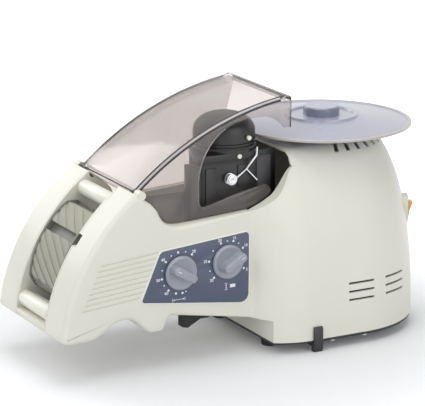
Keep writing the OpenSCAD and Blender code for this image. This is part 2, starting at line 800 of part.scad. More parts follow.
module carousel_rotor() {
    corner = 3;
    rim_t = 4;
    color(warm_grey) at_carousel() difference() {
        union() {
            along_y(-rotor_half + flange_t, rotor_half - flange_t) difference() {
                rotor_section(pad_t);
                for (k = [0:2]) rotate(face_angle + 120 * k - 19)
                    translate([34, -pad_gap / 2]) square([20, pad_gap]);
            }
            mirrored() along_y(-rotor_half, -rotor_half + flange_t) intersection() {
                rotor_section(-flange_proud);
                circle(carousel_sweep - corner);
            }
        }
        along_y(-rotor_half + 2 * flange_t, rotor_half + 1) difference() {
            rotor_section(pad_t + rim_t);
            circle(shaft_radius + rim_t);
            for (k = [0:2]) rotate(face_angle + 120 * k - 19)
                translate([34 - rim_t, -pad_gap / 2 - rim_t]) square([30, pad_gap + 2 * rim_t]);
        }
        bar_y(0, 0, shaft_radius, -rotor_half - 1, rotor_half + 1);
    }
}

// Ribbed pads on the three faces, one short and one long pad on each
module carousel_pads() {
    face_radius_c = (carousel_sweep - flange_proud) * sqrt(3);
    pad_half = rotor_half - flange_t - 0.2;
    rib_pitch = 9.8;
    rib_tilt = 60;
    rib_gap = 4.2;
    reach = 90;
    corner = [reach * cos(57), reach * sin(57)];
    color(warm_grey) at_carousel() for (k = [0:2]) rotate([0, -face_angle - 120 * k, 0]) difference() {
        along_y(-pad_half, pad_half) difference() {
            intersection() {
                rotate(180) translate([carousel_sweep - flange_proud, 0])
                    circle(face_radius_c, $fn = 160);
                rotate(-19) translate([15, -70]) square([80, 140]);
                circle(carousel_sweep - 4);
                polygon([[0, 0], corner, [reach, 60], [reach, -60], [corner[0], -corner[1]]]);
            }
            rotate(180) translate([carousel_sweep - flange_proud, 0])
                circle(face_radius_c - pad_t, $fn = 160);
            rotate(-19) translate([20, -pad_gap / 2]) square([60, pad_gap]);
        }
        difference() {
            for (i = [-7:7]) rotate([rib_tilt, 0, 0])
                translate([20, i * rib_pitch - rib_gap / 2, -80])
                    cube([50, rib_gap, 160]);
            translate([-carousel_sweep + flange_proud, -60, 0]) rotate([-90, 0, 0])
                cylinder(r = face_radius_c - rib_depth, h = 120, $fn = 160);
        }
    }
}

module carousel_shaft() {
    color(steel) bar_y(carousel_x, carousel_z, shaft_radius, belt_y - 8, bay_half_width + cheek + 4);
}

module carousel_bearings() {
    color([0.72, 0.6, 0.35]) for (s = [0, 1]) mirror([0, s, 0]) difference() {
        union() {
            bar_y(carousel_x, carousel_z, bearing_radius, -bay_half_width - cheek, -bay_half_width);
            bar_y(carousel_x, carousel_z, bearing_radius + 2,
                -bay_half_width - cheek - 2, -bay_half_width - cheek);
        }
        bar_y(carousel_x, carousel_z, shaft_radius + running,
            -bay_half_width - cheek - 3, -bay_half_width + 1);
    }
}

// Toothed pulley with two flanges
module pulley(bore) {
    difference() {
        union() {
            bar_y(0, 0, pulley_radius, -belt_width / 2 - 0.5, belt_width / 2 + 0.5);
            for (s = [-1, 1]) translate([0, s * (belt_width / 2 + 1), 0])
                bar_y(0, 0, pulley_radius + 2.5, -0.5, 0.5);
        }
        bar_y(0, 0, bore, -belt_width, belt_width);
    }
}

module carousel_pulley() {
    color(white) translate([carousel_x, belt_y, carousel_z]) pulley(shaft_radius);
}

module motor_pulley() {
    color(white) translate([motor_x, belt_y, motor_z]) pulley(motor_shaft_radius);
}

module drive_belt() {
    run = [motor_x - carousel_x, motor_z - carousel_z];
    inner = pulley_radius + slide;
    half = belt_width / 2 - 0.3;
    color(black) translate([carousel_x, 0, carousel_z]) along_y(belt_y - half, belt_y + half)
        rotate(atan2(run[1], run[0])) difference() {
            union() {
                circle(inner + belt_t);
                translate([norm(run), 0]) circle(inner + belt_t);
                translate([0, -inner - belt_t]) square([norm(run), 2 * (inner + belt_t)]);
            }
            circle(inner);
            translate([norm(run), 0]) circle(inner);
            translate([0, -inner]) square([norm(run), 2 * inner]);
        }
}

module motor_shaft() {
    color(steel) bar_y(motor_x, motor_z, motor_shaft_radius, belt_y - belt_width, motor_face_y + 18);
}

// Gear motor on a bracket that stands on the sloping floor of the waist
module carousel_motor() {
    foot_half = 12;
    function waist_floor(x) = wall + waist_low_z
        + (seam_low_z - waist_low_z) * (x - tip_x - 121) / (seam_x - tip_x - 121);
    color(steel) difference() {
        union() {
            bar_y(motor_x, motor_z, motor_radius, motor_face_y, motor_face_y + 58);
            bar_y(motor_x, motor_z, 8, motor_face_y - 1.5, motor_face_y);
            along_y(motor_face_y + 4, motor_face_y + 44)
                polygon([[motor_x - foot_half, waist_floor(motor_x - foot_half)],
                    [motor_x + foot_half, waist_floor(motor_x + foot_half)],
                    [motor_x + foot_half, motor_z - foot_half], [motor_x - foot_half, motor_z - foot_half]]);
        }
        bar_y(motor_x, motor_z, motor_shaft_radius + running, motor_face_y - 2, motor_face_y + 20);
    }
}

module upper_roller() { guide_roller(top_roller); }
module lower_roller() { guide_roller(low_roller); }

module guide_roller(p) {
    half = bay_half_width - 0.8;
    color(white) difference() {
        union() {
            bar_y(p[0], p[1], guide_roller_radius, -half + 1.2, half - 1.2);
            for (s = [-1, 1]) bar_y(p[0], p[1], guide_roller_radius - 0.8, s * half - 0.6, s * half + 0.6);
            bar_y(p[0], p[1], guide_roller_radius - 0.8, -half, half);
        }
        bar_y(p[0], p[1], axle_radius + running, -half - 1, half + 1);
    }
}

module roller_axles() {
    color(steel) for (p = [top_roller, low_roller])
        bar_y(p[0], p[1], axle_radius, -bay_half_width - cheek, bay_half_width + cheek);
}

module tape_sensor() {
    color(black) difference() {
        translate([sensor_front_x, -bay_half_width - 8, sensor_z - 5.5]) cube([12, 7.6, 11]);
        translate([sensor_front_x - 1, -bay_half_width - 6, sensor_z - 2]) cube([4, 4, 4]);
    }
}

// Feed head: its plates slant back at the front, beside the cutter
module feed_plate(lip) {
    polygon([[feed_front_x - lip, feed_near_y - lip], [feed_rear_x + lip, feed_near_y - lip],
        [feed_rear_x + lip, feed_far_y + lip], [feed_slant_x - lip, feed_far_y + lip],
        [feed_front_x - lip, feed_near_y + cutter_depth]]);
}

module feed_frame() {
    lip = 2;
    color(black) difference() {
        union() {
            translate([0, 0, deck_z]) linear_extrude(feed_wall) feed_plate(0);
            translate([0, 0, feed_plate_z]) linear_extrude(feed_plate_t) feed_plate(lip);
            translate([feed_front_x, feed_near_y, deck_z])
                cube([feed_rear_x - feed_front_x, feed_wall, head_rise]);
            translate([feed_slant_x, feed_far_y - feed_wall, deck_z])
                cube([feed_rear_x - feed_slant_x, feed_wall, head_rise]);
            translate([feed_front_x + 4, feed_near_y - 1.5, deck_z + 12]) cube([12, 2, head_rise - 18]);
            translate([feed_x + 14, feed_near_y - 1.5, deck_z + head_rise / 2 + 1])
                cube([16, 2, head_rise / 2 - 7]);
        }
        for (y = [feed_y, press_y]) translate([feed_x, y, deck_z - 1])
            cylinder(r = journal_radius + running, h = feed_plate_z + feed_plate_t - deck_z + 2);
    }
}

module drum_cover() {
    base = feed_plate_z + feed_plate_t;
    groove = 1.2;
    inner = drum_radius - 3;
    color(black) translate([drum_x, drum_y, base]) rotate_extrude($fn = 96)
        polygon(concat([[inner, 0], [drum_radius + 1, 0], [drum_radius + 1, 2.5], [drum_radius, 3.5]],
            [for (z = [4.8, 7.8]) each [[drum_radius, z], [drum_radius - groove, z + 0.4],
                [drum_radius - groove, z + 1.2], [drum_radius, z + 1.6]]],
            bez([drum_radius, drum_height - 18], [drum_radius, drum_height - 8],
                [drum_radius - 10, drum_height - 1], [drum_radius - 20, drum_height], 8),
            [[0, drum_height], [0, drum_height - 3], [drum_radius - 20, drum_height - 3],
                [inner - 4, drum_height - 10], [inner, drum_height - 18]]));
}

module feed_spool(y, low_z, rubber) {
    roll_low = deck_z + feed_wall + 0.6;
    roll_high = feed_plate_z - 0.6;
    color(rubber) translate([feed_x, y, 0]) {
        translate([0, 0, roll_low]) cylinder(r = feed_roller_radius, h = roll_high - roll_low);
        translate([0, 0, low_z]) cylinder(r = journal_radius, h = feed_plate_z + feed_plate_t - low_z);
    }
}

module feed_roller() { feed_spool(feed_y, deck_z - deck_t - 8, [0.3, 0.3, 0.32]); }
module press_roller() { feed_spool(press_y, deck_z + 0.3, [0.45, 0.3, 0.28]); }

module feed_motor() {
    top = deck_z - deck_t;
    color(steel) translate([feed_x, feed_y, 0]) difference() {
        union() {
            translate([0, 0, top - 52]) cylinder(r = motor_radius, h = 48);
            translate([-motor_radius - 3, -motor_radius, top - 4])
                cube([2 * motor_radius + 6, 2 * motor_radius, 4]);
        }
        translate([0, 0, top - 20]) cylinder(r = journal_radius + running, h = 30);
    }
}

module cutter_block() {
    color(black) difference() {
        translate([feed_front_x - 12, feed_near_y, deck_z]) cube([12, cutter_depth, head_rise - 2]);
        translate([feed_front_x - 7, feed_near_y + 2, deck_z + 12]) cube([1.6, 20, head_rise - 20]);
    }
}

module cutter_blade() {
    low_z = deck_z + 12.3;
    high_z = deck_z + head_rise - 8.3;
    color(steel) translate([feed_front_x - 6.7, 0, 0]) rotate([90, 0, 90]) linear_extrude(1)
        polygon([[feed_near_y + 2.4, low_z], [feed_near_y + 14, low_z],
            [feed_near_y + 16, (low_z + high_z) / 2],
            [feed_near_y + 14, high_z], [feed_near_y + 2.4, high_z]]);
}

module guide_plates() {
    color(black) {
        translate([feed_rear_x, feed_near_y + 1, deck_z]) cube([16, 2.5, feed_plate_z - deck_z]);
        translate([feed_rear_x + 8, feed_near_y + 16, deck_z]) cube([22, 2.5, head_rise + 2]);
        translate([feed_rear_x, feed_near_y + 3.5, deck_z]) cube([12, 12.5, 3]);
        translate([feed_rear_x + 8, feed_near_y + 3.5, deck_z]) cube([4, 13, 3]);
    }
}

module guide_pins() {
    pin_r = 2.3;
    cover_x = feed_x + 25;
    cover_face = drum_y - sqrt(pow(drum_radius, 2) - pow(cover_x - pin_r - drum_x, 2));
    color(white) {
        bar_y(feed_x + 14.5, feed_plate_z + 3.5, pin_r, feed_near_y - 4.5, feed_near_y - 2);
        bar_y(cover_x, feed_plate_z + 21, pin_r, drum_y - drum_radius - 2, cover_face);
    }
}

module guide_screw() {
    color(steel) difference() {
        union() {
            bar_y(screw_place[0], screw_place[1], 2, feed_near_y - 6, feed_near_y);
            bar_y(screw_place[0], screw_place[1], 4.6, feed_near_y - 7.6, feed_near_y - 6);
        }
        for (a = [0, 90]) translate([screw_place[0], feed_near_y - 7.6, screw_place[1]])
            rotate([0, a + 20, 0]) translate([-2.4, -0.5, -0.5]) cube([4.8, 1.3, 1]);
    }
}

module guide_washers() {
    color(steel) for (y = [-1, -6]) difference() {
        bar_y(screw_place[0], screw_place[1], 5.6, feed_near_y + y, feed_near_y + y + 1);
        bar_y(screw_place[0], screw_place[1], 2.1, feed_near_y + y - 1, feed_near_y + y + 2);
    }
}

// A bent wire in one upright plane: a six-sided tube along points in X and Z, with mitred bends
module bent_wire(path, y, r) {
    n = len(path);
    sides = 6;
    function unit(v) = v / norm(v);
    function along(i) = unit(unit(path[min(i + 1, n - 1)] - path[max(min(i, n - 2), 0)])
        + unit(path[max(min(i, n - 1), 1)] - path[max(i - 1, 0)]));
    function mitre(i) = 1 / (along(i) * unit(path[min(i + 1, n - 1)] - path[min(i, n - 2)]));
    points = [for (i = [0:n - 1], k = [0:sides - 1])
        let (a = 360 * k / sides, t = along(i), out = r * cos(a) * mitre(i))
        [path[i][0] - t[1] * out, y + r * sin(a), path[i][1] + t[0] * out]];
    skin = [for (i = [0:n - 2], k = [0:sides - 1])
        let (a = i * sides + k, b = i * sides + (k + 1) % sides)
        each [[a, b, b + sides], [a, b + sides, a + sides]]];
    caps = [[for (k = [sides - 1:-1:0]) k], [for (k = [0:sides - 1]) (n - 1) * sides + k]];
    polyhedron(points, concat(skin, caps));
}

module guide_wire() {
    y = feed_near_y - 3.6;
    r = 0.9;
    fork = [feed_x + 22, feed_plate_z - 10];
    tip = [feed_x + 34, feed_plate_z + 11];
    color(steel) {
        bent_wire([screw_place + [1.63, -2.42], fork, tip - [0.5, 8.5], tip], y, r);
        bent_wire([fork, tip - [0, 33.5]], y, r);
    }
}

// Electrics inside the rear housing
module transformer() {
    color([0.3, 0.3, 0.32]) translate([reel_x + 2, -30, bell_edge_z]) {
        cube([46, 60, 44]);
        translate([-6, 8, 6]) cube([58, 44, 32]);
    }
}

module circuit_board() {
    color([0.1, 0.35, 0.2]) translate([reel_x - 78, -45, board_z]) {
        cube([66, 90, 1.6]);
        translate([8, 10, 1.6]) cube([22, 14, 8]);
        translate([40, 50, 1.6]) cube([12, 30, 6]);
    }
}

module board_spacers() {
    color(white) for (x = [reel_x - 73, reel_x - 17], y = [-40, 40])
        translate([x, y, bell_edge_z]) cylinder(r = 3, h = board_z - bell_edge_z);
}

module switch_bezel() {
    rear = bezel_face - 26;
    floor_t = 6;
    color(cream) switch_frame() difference() {
        translate([rear, -bezel_half_width, switch_z - bezel_half])
            cube([bezel_face - rear, 2 * bezel_half_width, 2 * bezel_half]);
        translate([rear + floor_t, -bezel_half_width + bezel_wall, switch_z - bezel_half + bezel_wall])
            cube([bezel_face - rear, 2 * (bezel_half_width - bezel_wall), 2 * (bezel_half - bezel_wall)]);
        bar_y(rocker_pivot, switch_z, trunnion_radius + running, -bezel_half_width, bezel_half_width);
    }
}

module power_rocker() {
    color(orange) switch_frame() {
        translate([rocker_pivot, 0, switch_z]) rotate([0, rocker_tilt, 0])
            along_y(-rocker_width / 2, rocker_width / 2)
                polygon([[rocker_face, -rocker_half], [rocker_face - 1, 0], [rocker_face, rocker_half],
                    [-2, rocker_half - 2], [-6, 3], [-6, -3], [-2, -rocker_half + 2]]);
        bar_y(rocker_pivot, switch_z, trunnion_radius, -bezel_half_width + slide, bezel_half_width - slide);
    }
}

module power_inlet() {
    rear = bell_base_radius - 17;
    color(black) inlet_frame() difference() {
        translate([rear, 0, 0]) rotate([0, 90, 0]) {
            cylinder(r = inlet_radius, h = bell_base_radius - rear);
            cylinder(r = inlet_radius + 3, h = 10);
        }
        translate([rear + 6, 0, 0]) rotate([0, 90, 0]) cylinder(r = inlet_radius / 2, h = 30);
    }
}

base_plate();
base_feet();
side_brackets();
base_screws();
rear_housing();
right_housing();
left_housing();
chin_bar();
carousel_cradle();
deck_plate();
rest_pads();
control_panel();
length_knob();
length_shaft();
length_potentiometer();
width_knob();
width_shaft();
width_potentiometer();
hood();
hood_hinge_pins();
reel_platter();
reel_hub();
reel_spindle();
felt_washer();
carousel_rotor();
carousel_pads();
carousel_shaft();
carousel_bearings();
carousel_pulley();
motor_pulley();
motor_shaft();
drive_belt();
carousel_motor();
upper_roller();
lower_roller();
roller_axles();
tape_sensor();
feed_frame();
drum_cover();
feed_roller();
press_roller();
feed_motor();
cutter_block();
cutter_blade();
guide_plates();
guide_pins();
guide_screw();
guide_washers();
guide_wire();
transformer();
circuit_board();
board_spacers();
switch_bezel();
power_rocker();
power_inlet();
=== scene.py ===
"""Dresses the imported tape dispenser: rounded shells, dials with their print, finishes and a studio."""

import json
import math

import bmesh
import bpy
from bpy.props import FloatProperty, FloatVectorProperty, PointerProperty
from mathutils import Matrix, Vector


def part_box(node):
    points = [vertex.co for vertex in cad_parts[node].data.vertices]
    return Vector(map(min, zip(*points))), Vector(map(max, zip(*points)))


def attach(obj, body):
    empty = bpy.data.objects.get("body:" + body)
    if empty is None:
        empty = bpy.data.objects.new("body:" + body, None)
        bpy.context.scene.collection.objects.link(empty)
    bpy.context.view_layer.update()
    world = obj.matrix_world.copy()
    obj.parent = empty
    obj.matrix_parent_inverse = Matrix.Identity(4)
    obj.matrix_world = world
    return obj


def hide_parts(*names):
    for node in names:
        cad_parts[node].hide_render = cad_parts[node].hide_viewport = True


bl_info = {
    "name": "Tape Dispenser Dressing",
    "version": (1, 0, 0),
    "blender": (4, 5, 0),
    "location": "3D View > Sidebar > Tape Dispenser",
    "description": "Builds the shells, dials, feed head, reel, hood and studio of a tape dispenser",
    "category": "Object",
}

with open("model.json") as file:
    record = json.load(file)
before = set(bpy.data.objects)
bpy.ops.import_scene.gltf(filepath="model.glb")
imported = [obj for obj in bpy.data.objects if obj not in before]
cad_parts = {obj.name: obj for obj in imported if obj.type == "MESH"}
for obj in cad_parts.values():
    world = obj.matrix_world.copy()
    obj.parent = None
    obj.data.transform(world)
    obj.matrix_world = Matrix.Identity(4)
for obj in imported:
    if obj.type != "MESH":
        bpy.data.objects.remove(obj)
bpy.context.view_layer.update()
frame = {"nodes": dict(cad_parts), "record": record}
NODES = frame["nodes"]
SLOT_OF = {row["node"]: row["material_slot"] for row in frame["record"]["subparts"]}
BODY_OF = {node: body for body, members in frame["record"]["behaviour"]["bodies"].items() for node in members}
MM = 0.001

# Places on the machine, in millimetres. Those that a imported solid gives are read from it
TIP_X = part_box("right_housing")[0].x / MM
SEAM_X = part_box("right_housing")[1].x / MM
WAIST_X = TIP_X + 117.0
REEL_X = (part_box("reel_platter")[0].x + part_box("reel_platter")[1].x) / 2 / MM
DECK_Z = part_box("deck_plate")[1].z / MM
CHIN_Z = 41.0
RIM_Z = DECK_Z + 4.0
RIM_SEAM_Z = 146.6
NOSE_HALF = 76.0
SEAM_HALF = 68.0
BAY_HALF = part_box("chin_bar")[1].y / MM
CAROUSEL = (TIP_X + 62.0, 102.0)
HINGE = (TIP_X + 88.0, 178.0)
TOP_ROLLER = (TIP_X + 76.5, 164.5)
LOW_ROLLER = (TIP_X + 10.5, 60.0)
LENGTH_DIAL = (TIP_X + 128.8, 96.3)
WIDTH_DIAL = (TIP_X + 181.9, 99.6)
PANEL_T = 1.2
WALL = 3.0
TAPER = (NOSE_HALF - SEAM_HALF) / (SEAM_X - TIP_X)


def tone(red, green, blue):
    """Linear colour of a tone given as it looks on a screen, from 0 to 255."""
    def linear(value):
        c = value / 255.0
        return c / 12.92 if c <= 0.04045 else ((c + 0.055) / 1.055) ** 2.4
    return linear(red), linear(green), linear(blue)


def colour(name, description, *default):
    """A colour that a user may change, its default given as it looks on a screen."""
    return FloatVectorProperty(name=name, description=description, subtype="COLOR", size=3, min=0.0, max=1.0,
                               default=tone(*default))


def length(name, description, default):
    """A size that a user may change, in metres."""
    return FloatProperty(name=name, description=description, subtype="DISTANCE", unit="LENGTH",
                         default=default)


def power(name, description, default):
    """A lamp's power that a user may change, in watts."""
    return FloatProperty(name=name, description=description, unit="POWER", default=default, min=0.0)


class FinishColours(bpy.types.PropertyGroup):
    """Colours of the machine's finishes"""

    body: colour("Body", "Cream of the moulded shells", 226, 225, 213)
    panel: colour("Panel", "Slate of the dial panel", 77, 86, 108)
    knob: colour("Knobs", "Grey of the dial knobs", 152, 155, 167)
    hood: colour("Hood", "Smoke tint of the hood", 150, 130, 120)
    reel: colour("Reel", "Lavender grey of the reel platter", 163, 164, 182)
    hub: colour("Hub", "Blue grey of the reel hub", 128, 133, 154)
    pads: colour("Pads", "Warm grey of the carousel pads", 163, 162, 148)
    rotor: colour("Rotor", "Dark grey of the carousel's rotor", 128, 128, 121)
    rollers: colour("Rollers", "Off-white of the guide rollers", 236, 235, 222)
    mechanism: colour("Mechanism", "Black of the feed head", 10, 10, 11)
    brackets: colour("Brackets", "Dark grey of the feet and brackets", 44, 44, 48)
    rocker: colour("Rocker", "Orange of the switch rocker", 226, 148, 46)
    metal: colour("Metal", "Bright metal of screws and shafts", 205, 207, 210)
    ink: colour("Ink", "White of the printed marks", 240, 241, 246)


class ShellSizes(bpy.types.PropertyGroup):
    """Sizes of the moulded shells' edges"""

    edge: length("Edge radius", "Radius of the nose's rounded outer edges", 0.005)
    line: length("Bay line", "Width of the fine groove along the carousel bay", 0.0006)
    seam_edge: length("Seam edge", "Radius of the outer edge where the waist meets the rear housing", 0.0012)


class HoodSizes(bpy.types.PropertyGroup):
    """Sizes of the hood's edges"""

    edge: length("Edge", "Ease of the hood's cut edges", 0.00035)
    crown_edge: length("Crown edge", "Radius of the two long edges of the crown", 0.0042)
    end_edge: length("End edge", "Radius of the upright edges at the rear end", 0.0022)
    # The bead is coloured with painted shade, for the dark line along the hood's front edge
    bead: length("Bead", "Radius of the dark bead along the front edge", 0.0007)


class DialSizes(bpy.types.PropertyGroup):
    """Sizes of the dials and their print"""

    ring: length("Dot ring", "Radius of the ring of printed dots", 0.021)
    large_dot: length("Large dot", "Radius of a numbered dot", 0.0012)
    small_dot: length("Small dot", "Radius of a dot between numbers", 0.00078)
    numeral: length("Numerals", "Height of the printed numbers", 0.0042)
    rim: length("Panel rim", "Width of the pale rim round the panel", 0.0012)


class StudioSettings(bpy.types.PropertyGroup):
    """Light and camera"""

    lens: FloatProperty(name="Lens", description="Focal length of the camera, in millimetres", unit="CAMERA",
                        default=211.8, min=20.0)
    key: power("Key light", "Power of the large light in front of the nose", 15.0)
    nose: power("Nose light", "Power of the low light ahead of the nose", 2.4)
    back: power("Back light", "Power of the light that the hood's crown mirrors", 11.0)
    fill: power("Fill light", "Power of the light on the dial side", 14.5)
    top: power("Top light", "Power of the light overhead", 22.5)
    sky: FloatProperty(name="Sky", description="Strength of the even light from all round", default=0.23,
                       min=0.0)


def settings():
    """The dispenser's settings in the open scene."""
    return bpy.context.scene.tape_dispenser


class DispenserSettings(bpy.types.PropertyGroup):
    """All settings of the tape dispenser"""

    colours: PointerProperty(name="Colours", description="Colours of the finishes", type=FinishColours)
    shells: PointerProperty(name="Shells", description="Sizes of the shells", type=ShellSizes)
    hood: PointerProperty(name="Hood", description="Sizes of the hood", type=HoodSizes)
    dials: PointerProperty(name="Dials", description="Sizes of the dials", type=DialSizes)
    studio: PointerProperty(name="Studio", description="Light and camera", type=StudioSettings)


# Finishes

class Tree:
    """Adds nodes to one material and links them."""

    def __init__(self, name):
        self.material = bpy.data.materials.new(name)
        self.material.use_nodes = True
        self.nodes = self.material.node_tree.nodes
        self.links = self.material.node_tree.links
        self.shader = self.nodes["Principled BSDF"]
        self.where = self.nodes.new("ShaderNodeTexCoord").outputs["Object"]

    def add(self, kind, links=None, **values):
        """A node with its settings, and its inputs as constants or links."""
        node = self.nodes.new(kind)
        for key, value in values.items():
            setattr(node, key, value)
        for key, value in (links or {}).items():
            if isinstance(value, bpy.types.NodeSocket):
                self.links.new(value, node.inputs[key])
            else:
                node.inputs[key].default_value = value
        return node

    def noise(self, scale, detail, stretch=None):
        """A noise over the piece, drawn out along its axes by stretch."""
        where = self.where
        if stretch:
            where = self.add("ShaderNodeMapping", {"Vector": where, "Scale": stretch}).outputs["Vector"]
        links = {"Vector": where, "Scale": scale, "Detail": detail}
        return self.add("ShaderNodeTexNoise", links).outputs["Fac"]

    def between(self, fac, low, high):
        """A number that runs from low to high over the middle of a noise."""
        links = {"Value": fac, "From Min": 0.3, "From Max": 0.7, "To Min": low, "To Max": high}
        return self.add("ShaderNodeMapRange", links).outputs["Result"]

    def shades(self, fac, dark, light):
        """A colour between two shades."""
        mix = self.add("ShaderNodeMix", {"Factor": fac}, data_type="RGBA")
        for socket, value in (("A_Color", dark), ("B_Color", light)):
            next(s for s in mix.inputs if s.identifier == socket).default_value = (*value, 1.0)
        return next(s for s in mix.outputs if s.identifier == "Result_Color")

    def bump(self, height, distance, strength):
        """A normal from a height, raised by up to distance metres."""
        links = {"Height": height, "Distance": distance, "Strength": strength}
        return self.add("ShaderNodeBump", links).outputs["Normal"]

    def feed(self, **sockets):
        """Sets inputs of the shader, as constants or links."""
        for key, value in sockets.items():
            socket = self.shader.inputs[key.replace("_", " ")]
            if isinstance(value, bpy.types.NodeSocket):
                self.links.new(value, socket)
            else:
                socket.default_value = value


# The hood's sheet: light that it lets through, its haze, and the share that its faces mirror
HOOD_PASS = (0.82, 0.792, 0.78)
HOOD_HAZE = (0.03, 0.05)
HOOD_ROUGH = (0.09, 0.14)
MIRROR_FACING = 0.045
MIRROR_GRAZING = 0.95
MIRROR_RISE = 5.0


def scaled(tint, share):
    """A colour made darker or lighter by a share."""
    return tuple(min(1.0, c * share) for c in tint)


def moulded(name, tint, rough, grain=900.0, depth=0.00004, vary=0.035, coat=0.0):
    """Moulded plastic, rubber or paint: fine grain, uneven gloss and a faint drift in tone."""
    tree = Tree(name)
    broad = tree.noise(14.0, 4.0)
    fine = tree.noise(grain, 2.0)
    tree.feed(Base_Color=tree.shades(broad, scaled(tint, 1 - vary), scaled(tint, 1 + vary)),
              Roughness=tree.between(broad, rough * 0.88, rough * 1.12),
              Normal=tree.bump(fine, depth, 0.35), Coat_Weight=coat, Coat_Roughness=0.12)
    return tree.material


def turned_metal(name, tint, rough, stretch=(1.0, 1.0, 30.0)):
    """Bright metal with fine tool lines and a few dull places."""
    tree = Tree(name)
    lines = tree.noise(420.0, 3.0, stretch)
    broad = tree.noise(40.0, 3.0)
    tree.feed(Base_Color=tree.shades(broad, scaled(tint, 0.86), scaled(tint, 1.05)),
              Roughness=tree.between(lines, rough * 0.7, rough * 1.4),
              Normal=tree.bump(lines, 0.00003, 0.3), Metallic=1.0)
    return tree.material


def reel_gloss(name, tint):
    """Glossy disc with faint rings from its mould and light handling marks."""
    tree = Tree(name)
    shift = {"Vector": tree.where, "Location": (-REEL_X * MM, 0.0, 0.0)}
    middle = tree.add("ShaderNodeMapping", shift).outputs["Vector"]
    waves = {"Vector": middle, "Scale": 120.0, "Distortion": 0.4, "Detail": 1.0}
    rings = tree.add("ShaderNodeTexWave", waves, wave_type="RINGS", rings_direction="Z").outputs["Fac"]
    broad = tree.noise(22.0, 5.0)
    tree.feed(Base_Color=tree.shades(broad, scaled(tint, 0.96), scaled(tint, 1.03)),
              Roughness=tree.between(broad, 0.2, 0.3), Normal=tree.bump(rings, 0.00001, 0.15),
              Coat_Weight=0.45, Coat_Roughness=0.06)
    return tree.material


def smoked_sheet(name, tint):
    """Clear smoked sheet: it tints what is behind it, is faintly hazy, and mirrors on its polished faces."""
    tree = Tree(name)
    faint = tree.noise(30.0, 3.0)
    tree.feed(Base_Color=tree.shades(faint, scaled(tint, 0.9), scaled(tint, 1.1)), Roughness=0.5)
    clear = tree.add("ShaderNodeBsdfTransparent", {"Color": (*HOOD_PASS, 1.0)}).outputs["BSDF"]
    haze = tree.between(faint, *HOOD_HAZE)
    film = tree.add("ShaderNodeMixShader", {0: haze, 1: clear, 2: tree.shader.outputs["BSDF"]})
    mirror = tree.add("ShaderNodeBsdfAnisotropic", {"Color": (0.95, 0.95, 0.95, 1.0),
                                                    "Roughness": tree.between(faint, *HOOD_ROUGH)})
    facing = tree.add("ShaderNodeLayerWeight", {"Blend": 0.5}).outputs["Facing"]
    steep = tree.add("ShaderNodeMath", {0: facing, 1: MIRROR_RISE}, operation="POWER").outputs["Value"]
    share = {0: steep, 1: MIRROR_GRAZING, 2: MIRROR_FACING}
    gloss = tree.add("ShaderNodeMath", share, operation="MULTIPLY_ADD").outputs["Value"]
    mix = tree.add("ShaderNodeMixShader", {0: gloss, 1: film.outputs["Shader"], 2: mirror.outputs["BSDF"]})
    tree.links.new(mix.outputs["Shader"], tree.nodes["Material Output"].inputs["Surface"])
    return tree.material


def ribbed_rubber(name, tint):
    """Pad rubber with a dusty bloom in patches over it."""
    tree = Tree(name)
    bloom = tree.noise(60.0, 5.0)
    grain = tree.noise(1400.0, 2.0)
    tree.feed(Base_Color=tree.shades(bloom, scaled(tint, 0.9), scaled(tint, 1.06)),
              Roughness=tree.between(bloom, 0.55, 0.78), Normal=tree.bump(grain, 0.00006, 0.5),
              Sheen_Weight=0.1)
    return tree.material


def felt_cloth(name, tint):
    """Felt with short drawn-out fibres."""
    tree = Tree(name)
    fibre = tree.noise(700.0, 6.0, (1.0, 3.0, 1.0))
    tree.feed(Base_Color=tree.shades(fibre, scaled(tint, 0.6), scaled(tint, 1.5)), Roughness=0.95,
              Normal=tree.bump(fibre, 0.0003, 0.8), Sheen_Weight=0.4)
    return tree.material


